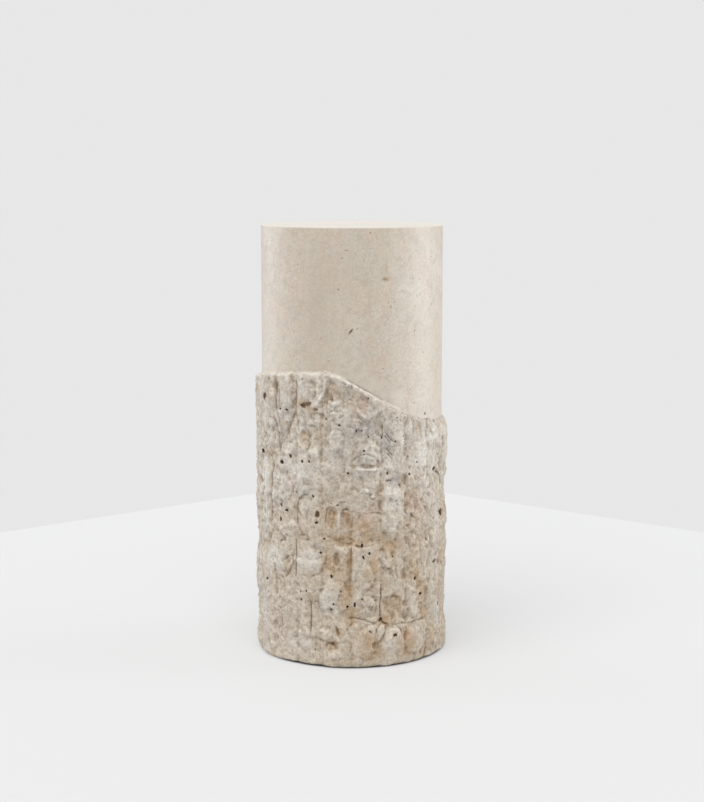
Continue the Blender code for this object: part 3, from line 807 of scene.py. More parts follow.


# Tints of the shown side: angle, height, half width, half height and strength.
OCHRE_TINTS = (
    # Below the upper edge, from left to right.
    (-60, 0.437, 0.015, 0.009, 0.6), (-56, 0.455, 0.018, 0.008, 0.4), (-44, 0.395, 0.01, 0.008, 0.5),
    (-28, 0.43, 0.014, 0.01, 1), (-23, 0.422, 0.01, 0.007, 0.8), (-11, 0.45, 0.011, 0.012, 0.5),
    (-58, 0.343, 0.019, 0.007, 0.8), (-29, 0.372, 0.01, 0.017, 0.4), (-19, 0.386, 0.007, 0.017, 0.4),
    # The two sunk panels, the brown band below them and the stone to its right.
    (-20, 0.252, 0.007, 0.012, 0.9), (-12, 0.247, 0.009, 0.017, 0.8), (-3, 0.245, 0.008, 0.017, 0.7),
    (-5, 0.214, 0.021, 0.009, 0.8), (5, 0.204, 0.019, 0.01, 0.6), (14, 0.217, 0.026, 0.01, 0.6),
    (24, 0.198, 0.023, 0.012, 0.8), (7, 0.237, 0.02, 0.018, 0.8), (16, 0.29, 0.006, 0.017, 0.5),
    (40, 0.267, 0.019, 0.021, 0.4), (30, 0.221, 0.01, 0.025, 0.3), (69, 0.235, 0.014, 0.008, 0.7),
    # The lower left.
    (-58, 0.209, 0.013, 0.01, 0.5), (-30, 0.221, 0.011, 0.01, 0.5), (-40, 0.159, 0.01, 0.012, 0.5),
    (-24, 0.116, 0.007, 0.008, 0.8), (-12, 0.037, 0.013, 0.007, 0.9), (-8, 0.061, 0.009, 0.012, 0.9),
    # The lower middle and right.
    (-14, 0.178, 0.01, 0.019, 1), (-2, 0.18, 0.007, 0.026, 0.8), (-8, 0.162, 0.012, 0.034, 0.5),
    (-3, 0.125, 0.01, 0.032, 0.8), (0, 0.088, 0.012, 0.015, 0.9), (13, 0.172, 0.009, 0.017, 0.9),
    (25, 0.177, 0.009, 0.021, 0.5), (40, 0.152, 0.012, 0.021, 0.9), (47, 0.19, 0.008, 0.025, 0.4),
    (46, 0.118, 0.011, 0.017, 1.1), (25, 0.098, 0.02, 0.022, 0.8), (19, 0.078, 0.014, 0.008, 1),
    (48, 0.084, 0.007, 0.025, 0.9), (11, 0.034, 0.014, 0.018, 1.8), (9, 0.062, 0.012, 0.008, 0.5),
    (34, 0.036, 0.02, 0.02, 1.1), (25, 0.055, 0.007, 0.005, 0.7), (56, 0.033, 0.015, 0.017, 0.4),
    (68, 0.119, 0.013, 0.012, 0.4), (43, 0.386, 0.008, 0.016, 0.5),
)
PINK_TINTS = (
    (5, 0.43, 0.012, 0.019, 0.9), (-12, 0.459, 0.013, 0.008, 0.4), (-23, 0.422, 0.011, 0.008, 0.5),
    (40, 0.267, 0.019, 0.021, 1), (9, 0.237, 0.019, 0.018, 1), (13, 0.263, 0.012, 0.012, 0.5),
    (-12, 0.247, 0.009, 0.017, 1), (-3, 0.245, 0.008, 0.017, 0.9), (-51, 0.246, 0.017, 0.017, 0.3),
    (-33, 0.229, 0.015, 0.012, 0.4), (-37, 0.3, 0.01, 0.012, 0.4), (-52, 0.074, 0.02, 0.017, 0.6),
    (-44, 0.04, 0.028, 0.02, 0.3), (5, 0.057, 0.012, 0.012, 0.4), (34, 0.039, 0.02, 0.017, 0.5),
)
PALE_TINTS = (
    (-65, 0.298, 0.017, 0.037, 0.6), (-65, 0.222, 0.016, 0.025, 0.5), (-54, 0.29, 0.006, 0.03, 0.4),
    (-38, 0.33, 0.022, 0.01, 0.5), (-32, 0.318, 0.026, 0.012, 0.6), (-45, 0.285, 0.02, 0.022, 0.3),
    (-53, 0.168, 0.021, 0.021, 0.8), (-27, 0.179, 0.021, 0.014, 0.9), (-15, 0.114, 0.013, 0.025, 0.6),
    (-64, 0.07, 0.019, 0.025, 0.4), (-69, 0.088, 0.02, 0.025, 0.5), (-35, 0.036, 0.025, 0.017, 0.5),
    (-10, 0.431, 0.005, 0.012, 0.5), (33, 0.375, 0.01, 0.025, 0.5), (52, 0.36, 0.03, 0.035, 0.7),
    (50, 0.284, 0.016, 0.025, 0.4), (25, 0.278, 0.012, 0.022, 1.1), (13, 0.283, 0.005, 0.004, 0.9),
    (9, 0.292, 0.005, 0.004, 0.7), (24, 0.238, 0.01, 0.015, 0.3), (37, 0.227, 0.016, 0.017, 0.4),
    (3, 0.14, 0.01, 0.021, 0.7), (8, 0.131, 0.008, 0.012, 0.4), (-11, 0.094, 0.013, 0.01, 0.5),
    (1, 0.036, 0.008, 0.014, 0.6), (21, 0.038, 0.009, 0.017, 0.5), (62, 0.076, 0.018, 0.033, 0.4),
    (60, 0.235, 0.018, 0.028, 0.4), (62, 0.16, 0.018, 0.03, 0.4), (44, 0.335, 0.02, 0.02, 0.3),
)
GREY_TINTS = (
    (7, 0.392, 0.025, 0.013, 1), (20, 0.376, 0.013, 0.025, 0.9), (-3, 0.38, 0.021, 0.013, 0.7),
    (-9, 0.351, 0.017, 0.01, 0.6), (27, 0.308, 0.014, 0.01, 0.9), (5, 0.351, 0.008, 0.008, 0.7),
    (5, 0.323, 0.017, 0.017, 0.4), (-46, 0.4, 0.008, 0.035, 0.5), (-32, 0.457, 0.008, 0.025, 0.4),
    (-40, 0.418, 0.009, 0.021, 0.4), (-44, 0.336, 0.011, 0.006, 0.7), (-28, 0.292, 0.019, 0.017, 0.3),
    (-20, 0.199, 0.013, 0.008, 0.3), (-45, 0.318, 0.016, 0.007, 0.4),
)
TINT_SEED = 61
HIDDEN_TINTS = ((80, 280), (0.01, 0.44), (0.005, 0.016), (0.008, 0.030), (0.4, 0.9))

# How each tint is spread and mottled: patches on the hidden sides, the even share, and a layer of noise.
OCHRE_SPREAD = (44, 1.0, 0.45, 0.007, 0.009, 201)
PALE_SPREAD = (20, 0.8, 0.4, 0.009, 0.009, 202)
PINK_SPREAD = (16, 0.8, 0.4, 0.008, 0.008, 204)
GREY_SPREAD = (16, 0.8, 0.4, 0.009, 0.009, 203)
BROAD_OCHRE = 0.16
# Painted light on raised lines, added to the pale mask.
CREST_PAINTED_LIGHT = 0.9

# How softly the relief nears its limits, and the radii and depth that tell hollows from ridges, in metres.
LIMIT_SOFT = 0.0006
CALM_RADIUS = 0.0060
BROAD_RADIUS = 0.020
HOLLOW_DEPTH = 0.0016


def strewn_tints(count, draw):
    """Soft patches for the hidden sides, of the same sizes as on the shown side."""
    return [drawn_from(HIDDEN_TINTS, draw) for _ in range(count)]


def painted(tints, draw, count, even, *mottling):
    """A mask of tints, with more of them on the hidden sides, broken up by noise."""
    marks = np.zeros_like(ANGLE)
    for angle, *size_and_strength in (*tints, *strewn_tints(count, draw)):
        tint(marks, (angle + 180) % 360 - 180, *size_and_strength)
    return marks * layered(even, [mottling])


field, crack, crest, hole = relief()
field = kept_within(field, LEAST_PROUD, MOST_PROUD, LIMIT_SOFT)
calm = blurred(field, CALM_RADIUS)
# How far the stone lies below its mean, which sets painted shade in the hollows and painted light on the
# ridges.
hollow = np.clip((calm - field) / HOLLOW_DEPTH, -1, 1)
broad = np.clip((blurred(field, BROAD_RADIUS) - calm) / HOLLOW_DEPTH, -1, 1)
draw = np.random.default_rng(TINT_SEED)
ochre = painted(OCHRE_TINTS, draw, *OCHRE_SPREAD) + BROAD_OCHRE * broad
# The pale mask also holds the painted light on raised lines.
pale = painted(PALE_TINTS, draw, *PALE_SPREAD) + CREST_PAINTED_LIGHT * crest
pink = painted(PINK_TINTS, draw, *PINK_SPREAD)
grey = painted(GREY_TINTS, draw, *GREY_SPREAD)

# The edge of the skirt: a fine wobble where it is broken, and nearly none where it was sawn along the slope.
EDGE_WOBBLE = 0.0022
EDGE_CELLS = ((1.0, 110, 301), (0.7, 260, 302))
SAWN_EDGE = (-10.0, 30.0, 8.0)
SAWN_CALM = 0.8
FOOT_CELLS = (70, 311)

# The sawn crevice over part of the ledge: its angles and depth, and its place and spread as shares of it.
CREVICE = (-2.6, 18.0, 2.0)
CREVICE_DEPTH = 0.0014
CREVICE_SHARE, CREVICE_SPREAD = 0.80, 0.16
LEDGE_BUMPS = 0.0007
LEDGE_CELLS = (0.005, 0.003, 303)
LEDGE_BEND = 0.75

# How many rings of points each part has, and the heights of the honed wall's rings as shares of it.
SKIRT_ROWS = 540
LEDGE_ROWS = 9
ROUND_STEPS = 4
WALL_SHARES = (0.004, *np.linspace(0.08, 0.992, 8))

# How far the drum keeps inside the solid's box, in metres.
BOX_INSET = 0.0002


def sample(raster, angle, height):
    """The raster's value at places between its rows and columns."""
    x = ((angle + 180) / COLUMN_STEP) % COLUMNS
    y = np.clip(height / ROW, 0, ROWS - 1.001)
    column, row = np.floor(x).astype(int) % COLUMNS, np.floor(y).astype(int)
    after = (column + 1) % COLUMNS
    across, up = x - np.floor(x), y - row
    low = raster[row, column] * (1 - across) + raster[row, after] * across
    high = raster[row + 1, column] * (1 - across) + raster[row + 1, after] * across
    return low * (1 - up) + high * up


def ring_noise(angle, cells_round, seed):
    """Soft noise that changes round the drum and not up it."""
    return smooth_noise(angle, np.full_like(angle, 0.1), cells_round, 0.2, seed)


def visual_edge(angle):
    """The height of the skirt's edge with its fine wobble."""
    sawn = between(angle, *SAWN_EDGE)
    wobble = sum(strength * ring_noise(angle, *cells) for strength, *cells in EDGE_CELLS)
    return edge_height(angle) + EDGE_WOBBLE * (1 - SAWN_CALM * sawn) * wobble


def rings():
    """Radius and height of each ring at each column, and which rings may be thinned out."""
    level = np.ones(COLUMNS)
    edge = visual_edge(angles)
    lip_round = LIP_ROUND + (RIGHT_LIP_ROUND - LIP_ROUND) * between(angles, *SOFT_LIP)
    rows, free = [], []

    def ring(radius, height, thinned):
        rows.append((radius * level, height * level))
        free.append(thinned)

    ring(FOOT_RADIUS, 0.0, False)
    ring(FOOT_RADIUS, FOOT_HEIGHT, False)
    start = FOOT_HEIGHT + LOWER_ROUND + FOOT_WOBBLE * ring_noise(angles, *FOOT_CELLS)
    for step in range(ROUND_STEPS):
        turn = math.pi / 2 * step / ROUND_STEPS
        height = start - LOWER_ROUND * math.cos(turn)
        proud = sample(field, angles, height * level)
        ring(HONED_RADIUS + proud - LOWER_ROUND * (1 - math.sin(turn)), height, True)
    for step in range(SKIRT_ROWS):
        height = start + (edge - start) * step / (SKIRT_ROWS - 1)
        proud = sample(field, angles, height)
        into = np.clip(1 - (edge - height) / lip_round, 0, 1)
        drop = LIP_ROUND * (1 - np.sqrt(np.maximum(0, 1 - into * into)))
        ring(HONED_RADIUS + np.maximum(proud - drop, LEAST_PROUD), height, True)
    lip = rows[-1][0]
    sawn = between(angles, *CREVICE)
    for step in range(1, LEDGE_ROWS + 1):
        share = step / LEDGE_ROWS
        height = edge + LEDGE_RISE * share
        bumps = LEDGE_BUMPS * sample(noise(*LEDGE_CELLS), angles, height) * math.sin(math.pi * share)
        radius = lip + (HONED_RADIUS - lip) * share ** LEDGE_BEND + bumps * (1 - sawn)
        slit = math.exp(-(((share - CREVICE_SHARE) / CREVICE_SPREAD) ** 2)) if step < LEDGE_ROWS else 0.0
        ring(radius - CREVICE_DEPTH * slit * sawn, height, step < LEDGE_ROWS)
    top = HEIGHT - TOP_ARRIS
    for share in WALL_SHARES:
        ring(HONED_RADIUS, edge + LEDGE_RISE + (top - edge - LEDGE_RISE) * share, False)
    for step in range(ROUND_STEPS + 1):
        turn = math.pi / 2 * step / ROUND_STEPS
        ring(HONED_RADIUS - TOP_ARRIS * (1 - math.cos(turn)), top + TOP_ARRIS * math.sin(turn), False)
    ring(HONED_RADIUS - 2 * TOP_ARRIS, HEIGHT, False)
    return np.array([row[0] for row in rows]), np.array([row[1] for row in rows]), np.array(free)


def drum_mesh(radius, height):
    """A closed mesh of quads through the rings, with a flat face at each end."""
    up = len(radius)
    turn = np.radians(angles)[None, :]
    spots = np.stack([radius * np.sin(turn), -radius * np.cos(turn), height], axis=-1)
    low, high = np.array(cad_box)
    spots[..., :2] = np.clip(spots[..., :2], low[:2] + BOX_INSET, high[:2] - BOX_INSET)
    spots = spots.reshape(-1, 3)
    index = np.arange(up * COLUMNS).reshape(up, COLUMNS)
    right = np.roll(index, -1, axis=1)
    quads = np.stack([index[:-1], right[:-1], right[1:], index[1:]], axis=-1).reshape(-1)
    corners = np.concatenate([quads, index[0][::-1], index[-1]])
    sides = np.concatenate([np.full((up - 1) * COLUMNS, 4), [COLUMNS, COLUMNS]])
    mesh = bpy.data.meshes.new(DRUM_NAME)
    mesh.vertices.add(len(spots))
    mesh.vertices.foreach_set("co", spots.astype(np.float32).ravel())
    mesh.loops.add(len(corners))
    mesh.loops.foreach_set("vertex_index", corners.astype(np.int32))
    mesh.polygons.add(len(sides))
    mesh.polygons.foreach_set("loop_start", (np.cumsum(sides) - sides).astype(np.int32))
    mesh.update(calc_edges=True)
    return mesh


# The drum's name, its triangles after thinning, and the pore and crack masks above which the mesh stays fine.
DRUM_NAME = "travertine_drum"
MOST_TRIANGLES = 192000
FINE_HOLE, FINE_CRACK = 0.12, 0.42


def thinned(mesh, free, fine):
    """The drum with its rough part thinned out, except where fine is true."""
    drum = bpy.data.objects.new(DRUM_NAME, mesh)
    bpy.context.scene.collection.objects.link(drum)
    group = drum.vertex_groups.new(name="rough")
    index = np.arange(len(free) * COLUMNS).reshape(len(free), COLUMNS)
    chosen = index[free][:, 1:][~fine[free][:, 1:]]
    group.add(chosen.tolist(), 1.0, "ADD")
    collapse = drum.modifiers.new("thin", "DECIMATE")
    collapse.ratio = MOST_TRIANGLES / (2 * COLUMNS * len(free) - 4)
    collapse.vertex_group = "rough"
    collapse.use_collapse_triangulate = True
    depsgraph = bpy.context.evaluated_depsgraph_get()
    result = bpy.data.meshes.new_from_object(drum.evaluated_get(depsgraph))
    drum.modifiers.clear()
    drum.vertex_groups.clear()
    drum.data = result
    bpy.data.meshes.remove(mesh)
    result.name = DRUM_NAME
    result.shade_smooth()
    return drum


# Dimmer clouds of the honed face: angle, height, half width, half height and strength.
DIM_TINTS = (
    (-22, 0.56, 0.03, 0.11, 0.75), (-5, 0.64, 0.05, 0.04, 0.35), (12, 0.5, 0.03, 0.05, 0.4),
    (120, 0.58, 0.04, 0.08, 0.6), (200, 0.6, 0.05, 0.06, 0.6), (255, 0.56, 0.03, 0.09, 0.5),
)


# What the mesh's layers of masks hold, four to a layer.
MASKS = {
    "stone_a": ("rough", "ochre", "hollow", "pore"),
    "stone_b": ("pale", "grey", "crack", "low"),
    "stone_c": ("pink", "dim", "none", "all"),
}

# Where the rough stone ends above the ledge and the foot, in metres.
ROUGH_OVER = 0.0002
SOFT_LIP_DROP = 0.0012
ROUGH_FADE = 0.0012
FOOT_MARGIN = 0.0001

# The sharp lip is painted paler, a painted highlight, and the soft lip greyer: strength, how far below the
# edge it begins, and the fade.
LIP_PAINTED_LIGHT = (0.5, 0.003, 0.004)
GREY_LIP = (0.45, LIP_ROUND, 0.003)

# The painted shadow line in the crevice, as its height above the edge and its half width in metres.
SHADOW_LINE_RISE, SHADOW_LINE_HALF_WIDTH = 0.0024, 0.0008

# The warmer stone below: its least share, where it ends and over what height, and the cooler left side.
LOW_LEAST = 0.25
LOW_END, LOW_SPAN = 0.36, 0.16
LEFT_SIDE = (-95.0, -32.0, 20.0)
LEFT_COOLER = 0.4


def read(items, name, kind=np.float32, width=1):
    """One number or vector of every item of a mesh."""
    values = np.empty(len(items) * width, kind)
    items.foreach_get(name, values)
    return values if width == 1 else values.reshape(-1, width)


def near_edge(above, strength, reach, span):
    """A share that grows towards the skirt's edge, and stays full above it."""
    return strength * ease((above + reach) / span)


def add_masks(mesh):
    """Stores the masks of MASKS at each vertex."""
    x, y, z = read(mesh.vertices, "co", width=3).T.astype(float)
    angle = np.degrees(np.arctan2(x, -y))
    above = z - visual_edge(angle)
    soft_lip = between(angle, *SOFT_LIP)
    rough = ease((LEDGE_RISE + ROUGH_OVER - SOFT_LIP_DROP * soft_lip - above) / ROUGH_FADE)
    rough = rough * (z > FOOT_HEIGHT + FOOT_MARGIN)

    def mask(raster, added=0.0):
        return rough * np.clip(sample(raster, angle, z) + added, 0, 1)

    # A painted shadow line along the sawn crevice, carried on the crack mask.
    slit = between(angle, *CREVICE) * np.exp(-(((above - SHADOW_LINE_RISE) / SHADOW_LINE_HALF_WIDTH) ** 2))
    low = LOW_LEAST + (1 - LOW_LEAST) * ease((LOW_END - z) / LOW_SPAN)
    dim = np.zeros_like(z)
    for dim_angle, dim_height, half_width, half_height, strength in DIM_TINTS:
        aside = np.radians((angle - dim_angle + 180) % 360 - 180) * HONED_RADIUS / half_width
        dim += strength * np.exp(-(aside ** 2) - ((z - dim_height) / half_height) ** 2)
    values = {
        "rough": rough,
        "ochre": mask(ochre),
        "hollow": 0.5 + 0.5 * rough * sample(hollow, angle, z),
        "pore": mask(hole),
        # The sharp lip gets painted light on the pale mask.
        "pale": mask(pale, (1 - soft_lip) * near_edge(above, *LIP_PAINTED_LIGHT)),
        "grey": mask(grey, soft_lip * near_edge(above, *GREY_LIP)),
        "crack": np.maximum(mask(crack), slit),
        "low": rough * low * (1 - LEFT_COOLER * between(angle, *LEFT_SIDE)),
        "pink": mask(pink),
        "dim": np.clip(dim, 0, 1),
        "none": np.zeros_like(z),
        "all": np.ones_like(z),
    }
    for name, held in MASKS.items():
        layer = mesh.attributes.new(name, "FLOAT_COLOR", "POINT")
        stacked = np.stack([values[one] for one in held], axis=-1)
        layer.data.foreach_set("color", stacked.astype(np.float32).ravel())


# The unwrap: the drum's margin and foot on its map, the scale and centres of the two flat ends, and how the
# faces of those ends are told: by how level they are and how near to the end, in metres.
MAP_MARGIN = 0.001
MAP_FOOT = 0.004
END_SCALE = 0.40
TOP_CENTRE = (0.10, 0.90)
UNDER_CENTRE = (0.30, 0.90)
LEVEL_NORMAL = 0.95
END_DEPTH = 0.0005


def add_unwrap(mesh):
    """A map that unrolls the drum, with the two flat ends beside it."""
    corners = read(mesh.loops, "vertex_index", np.int32)
    sizes = read(mesh.polygons, "loop_total", np.int32)
    face = np.repeat(np.arange(len(sizes)), sizes)
    lean = read(mesh.polygons, "normal", width=3)[face, 2]
    centre = read(mesh.polygons, "center", width=3)[face]
    x, y, z = read(mesh.vertices, "co", width=3).astype(float)[corners].T
    angle = np.degrees(np.arctan2(x, -y))
    face_angle = np.degrees(np.arctan2(centre[:, 0], -centre[:, 1]))
    angle = angle + 360 * np.round((face_angle - angle) / 360)
    u = np.clip((angle + 180) / 360, 0, 1) * (1 - 2 * MAP_MARGIN) + MAP_MARGIN
    v = MAP_FOOT + z
    top = (lean > LEVEL_NORMAL) & (centre[:, 2] > HEIGHT - END_DEPTH)
    under = (lean < -LEVEL_NORMAL) & (centre[:, 2] < FOOT_HEIGHT + END_DEPTH)
    for end, (middle_u, middle_v) in ((top, TOP_CENTRE), (under, UNDER_CENTRE)):
        u = np.where(end, middle_u + x * END_SCALE, u)
        v = np.where(end, middle_v + y * END_SCALE, v)
    layer = mesh.uv_layers.new(name="OFBake")
    layer.data.foreach_set("uv", np.stack([u, v], axis=-1).astype(np.float32).ravel())


class Nodes:
    """A short way to write a material's nodes."""

    def __init__(self, material):
        material.use_nodes = True
        self.tree = material.node_tree
        self.shader = self.tree.nodes["Principled BSDF"]

    def put(self, socket, value):
        if isinstance(value, bpy.types.NodeSocket):
            self.tree.links.new(value, socket)
        elif value is not None:
            socket.default_value = value

    def new(self, kind, inputs=None, **settings):
        """A node with its settings, and with its inputs filled in by name or number."""
        made = self.tree.nodes.new(kind)
        for name, value in settings.items():
            setattr(made, name, value)
        for name, value in (inputs or {}).items():
            self.put(made.inputs[name], value)
        return made

    def math(self, operation, first, second=None, clamp=False):
        inputs = {0: first, 1: second}
        return self.new("ShaderNodeMath", inputs, operation=operation, use_clamp=clamp).outputs[0]

    def mix(self, share, first, second, blend="MIX"):
        inputs = {"Factor": share, 6: first, 7: second}
        settings = {"data_type": "RGBA", "blend_type": blend, "clamp_factor": True}
        return self.new("ShaderNodeMix", inputs, **settings).outputs[2]

    def noise(self, place, scale, detail=3.0, roughness=0.55, distortion=0.0):
        inputs = {"Vector": place, "Scale": scale, "Detail": detail, "Roughness": roughness}
        return self.new("ShaderNodeTexNoise", {**inputs, "Distortion": distortion}).outputs["Fac"]

    def span(self, value, low, high, start=0.0, end=1.0):
        inputs = {"Value": value, "From Min": low, "From Max": high, "To Min": start, "To Max": end}
        settings = {"interpolation_type": "SMOOTHSTEP", "clamp": True}
        return self.new("ShaderNodeMapRange", inputs, **settings).outputs["Result"]

    def oval(self, place, angle, height, half_width, half_height, tilt, strength):
        """A soft ragged oval mark round a place on the honed face."""
        turn = math.radians(angle)
        inputs = {
            "Vector": place,
            "Location": (HONED_RADIUS * math.sin(turn), -HONED_RADIUS * math.cos(turn), height),
            "Rotation": (0, math.radians(tilt), turn),
            "Scale": (half_width, half_width, half_height),
        }
        made = self.new("ShaderNodeMapping", inputs, vector_type="TEXTURE")
        far = self.new("ShaderNodeVectorMath", {0: made.outputs["Vector"]}, operation="LENGTH")
        ragged = self.math("MULTIPLY", self.noise(place, MARK_RAGGED_SCALE), MARK_RAGGED)
        ragged = self.math("ADD", far.outputs["Value"], ragged)
        return self.span(ragged, *MARK_EDGE, strength, 0.0)

    def attribute(self, name):
        """The four numbers of a layer of masks."""
        made = self.new("ShaderNodeAttribute", attribute_type="GEOMETRY", attribute_name=name)
        split = self.new("ShaderNodeSeparateColor", {"Color": made.outputs["Color"]})
        return (*[split.outputs[i] for i in range(3)], made.outputs["Alpha"])

    def layered(self, colour, fields, layers):
        """A colour with layers over it, each where a field is between two limits."""
        for name, low, high, start, end, *rest in layers:
            colour = self.mix(self.span(fields[name], low, high, start, end), colour, *rest)
        return colour


# Colours of the stone, as linear values.
HONED = (0.406, 0.345, 0.267, 1)
HONED_PALE = (0.475, 0.428, 0.368, 1)
HONED_PINK = (0.432, 0.346, 0.276, 1)
HONED_GREEN = (0.388, 0.351, 0.297, 1)
HONED_DIM = (0.345, 0.300, 0.242, 1)
# Painted light for the flat top.
HONED_TOP_PAINTED_LIGHT = (0.520, 0.495, 0.448, 1)
ROUGH_MID = (0.340, 0.298, 0.248, 1)
ROUGH_PALE = (0.485, 0.446, 0.392, 1)
ROUGH_CHALK = (0.540, 0.528, 0.495, 1)
ROUGH_GREY = (0.275, 0.260, 0.249, 1)
ROUGH_WARM = (0.352, 0.287, 0.208, 1)
ROUGH_PINK = (0.370, 0.268, 0.225, 1)
OCHRE = (0.322, 0.230, 0.141, 1)
GRIT_SHADE = (0.400, 0.370, 0.340, 1)
GRIT_LIGHT = (0.095, 0.092, 0.086, 1)
# Painted shade for the hollows and painted light for the ridges.
HOLLOW_PAINTED_SHADE = (0.690, 0.620, 0.540, 1)
RIDGE_PAINTED_LIGHT = (0.060, 0.058, 0.054, 1)
UMBER = (0.104, 0.061, 0.036, 1)
# Painted shade for the bottoms of pores.
PORE_PAINTED_SHADE = (0.026, 0.014, 0.008, 1)

# The edge of a mark on the honed face, and how ragged it is.
MARK_EDGE = (1.0, 1.7)
MARK_RAGGED = 1.2
MARK_RAGGED_SCALE = 500.0

# Marks on the honed face: angle, height, half width, half height, tilt in degrees, strength and colour.
HONED_MARKS = (
    (-0.6, 0.547, 0.0022, 0.0066, 40, 1, UMBER), (3.2, 0.551, 0.0013, 0.003, 45, 0.5, UMBER),
    (-3.6, 0.549, 0.0012, 0.0026, 60, 0.35, UMBER), (-1.6, 0.542, 0.0012, 0.0024, 70, 0.35, UMBER),
    (20.6, 0.629, 0.008, 0.005, 0, 0.85, OCHRE), (20.2, 0.6285, 0.0036, 0.0022, 0, 0.45, UMBER),
    (21.2, 0.648, 0.0022, 0.017, 2, 0.28, OCHRE), (-6, 0.662, 0.0018, 0.0014, 0, 0.7, UMBER),
    (7, 0.658, 0.0014, 0.0012, 0, 0.55, UMBER), (40.5, 0.628, 0.0018, 0.0016, 0, 0.55, UMBER),
    (-12, 0.474, 0.0016, 0.0013, 0, 0.75, UMBER), (-14, 0.5, 0.0035, 0.001, 10, 0.4, UMBER),
    (-19, 0.535, 0.003, 0.001, -20, 0.35, UMBER), (24, 0.585, 0.0016, 0.0024, 50, 0.45, UMBER),
    (30, 0.56, 0.006, 0.0012, 10, 0.25, OCHRE), (58, 0.66, 0.004, 0.001, 0, 0.4, UMBER),
    (-41, 0.645, 0.0014, 0.0014, 0, 0.5, UMBER), (-24, 0.69, 0.004, 0.003, 30, 0.3, OCHRE),
    (52, 0.4075, 0.003, 0.0026, 0, 1, PORE_PAINTED_SHADE), (-4, 0.674, 0.0014, 0.0011, 0, 0.6, UMBER),
    (2, 0.669, 0.0016, 0.001, 20, 0.5, UMBER), (11, 0.677, 0.0013, 0.0012, 0, 0.5, UMBER),
    (-9, 0.683, 0.0012, 0.001, 0, 0.5, UMBER), (125, 0.61, 0.004, 0.003, 20, 0.55, OCHRE),
    (150, 0.56, 0.0016, 0.004, 40, 0.7, UMBER), (205, 0.64, 0.0018, 0.0015, 0, 0.7, UMBER),
    (235, 0.57, 0.003, 0.0012, 15, 0.5, UMBER), (262, 0.62, 0.0045, 0.003, -10, 0.45, OCHRE),
)


# Noises of the stone: scale, detail, roughness and distortion. The streaks' noise is stretched upwards.
NOISES = {
    "clouds": (9.0, 4.0, 0.6, 0.6),
    "fine_clouds": (45.0, 4.0, 0.6, 0.4),
    "pale_flecks": (260.0, 5.0, 0.80),
    "dim_blotches": (60.0, 8.0, 0.76, 0.2),
    "dim_flecks": (330.0, 3.0, 0.7),
    "wear": (230.0, 4.0, 0.75, 1.5),
    "mottle": (70.0, 5.0, 0.65, 0.5),
    "brown_clouds": (22.0, 4.0, 0.6, 0.5),
    "specks": (160.0, 2.0, 0.5),
    "grit": (250.0, 5.0, 0.75),
    "grain": (420.0, 2.0, 0.6),
    "fine_grain": (900.0, 2.0),
}
STREAKS = (26.0, 4.0, 0.6, 0.8)
STREAK_STRETCH = (1.0, 1.0, 0.35)

# Layers of colour over HONED and ROUGH_MID: the field that says where, two limits of it, the share at each,
# and the colour.
HONED_LAYERS = (
    ("clouds", 0.40, 0.66, 0.0, 1.0, HONED_PALE),
    ("streaks", 0.46, 0.60, 0.0, 1.0, HONED_PINK),
    ("fine_clouds", 0.50, 0.64, 0.0, 0.9, HONED_GREEN),
    ("pale_flecks", 0.42, 0.62, 0.0, 0.90, HONED_PALE),
    ("dim_blotches", 0.46, 0.66, 0.0, 0.62, HONED_DIM),
    ("dim_flecks", 0.54, 0.70, 0.0, 0.55, HONED_DIM),
)
MOTTLE_LAYERS = (("mottle", 0.36, 0.64, 0.0, 1.0, ROUGH_PALE),)
ROUGH_LAYERS = (
    ("grit", 0.34, 0.50, 0.42, 0.0, GRIT_SHADE, "MULTIPLY"),
    ("grit", 0.50, 0.68, 0.0, 1.0, GRIT_LIGHT, "ADD"),
    ("specks", 0.62, 0.74, 0.0, 0.35, UMBER),
    # Painted shade in the hollows and painted light on the ridges.
    ("hollow", 0.53, 1.0, 0.0, 1.0, HOLLOW_PAINTED_SHADE, "MULTIPLY"),
    ("hollow", 0.05, 0.47, 1.0, 0.0, RIDGE_PAINTED_LIGHT, "ADD"),
)
# A brown rim round each pore, and painted shade at its bottom.
PORE_LAYERS = (("pore", 0.15, 0.60, 0.0, 0.85, UMBER), ("pore", 0.65, 0.95, 0.0, 0.9, PORE_PAINTED_SHADE))

# Masks that are mixed in as they are: the share and the colour.
MASK_LAYERS = (
    ("low", 0.52, ROUGH_WARM), ("pale", 0.80, ROUGH_CHALK),
    ("grey", 0.90, ROUGH_GREY), ("pink", 0.80, ROUGH_PINK),
)
CRACK_SHARE = 0.75
PIT_SHARE = 0.6
WORN_SHARE = 0.60

# Two limits of a field and the share at each: worn places, dim clouds, brown stone, the painted light on the
# flat top, the painted shadow at the foot.
WORN = (0.57, 0.69)
WORN_CLOUDS = (0.48, 0.58)
DIM_CLOUDS = (0.20, 0.60, 1.0, 0.6)
BROWN_CLOUDS = (0.45, 0.68, 0.0, 0.45)
STAIN_CLOUDS = (0.30, 0.55, 0.60, 1.0)
TOP_PAINTED_LIGHT_BAND = (HEIGHT - 0.002, HEIGHT - 0.0002, 0.0, 0.85)
FOOT_PAINTED_SHADOW = (FOOT_HEIGHT - 0.0006, FOOT_HEIGHT, 0.85, 0.0)

# Pits of the honed face: cells to a metre, the share of cells without one, and their edge.
PIT_CELLS = 140.0
PIT_RARITY = 0.955
PIT_EDGE = (0.10, 0.26, 1.0, 0.0)

# Gloss as the noise's share and the least roughness, and the bump's parts, strength and height in metres.
HONED_GLOSS = (0.14, 0.45)
ROUGH_GLOSS = (0.20, 0.70)
GRIT_BUMP = 1.6
FINE_GRAIN_BUMP = 0.5
PIT_BUMP = 0.8
BUMP_STRENGTH = 0.55
BUMP_HEIGHT = 0.0009


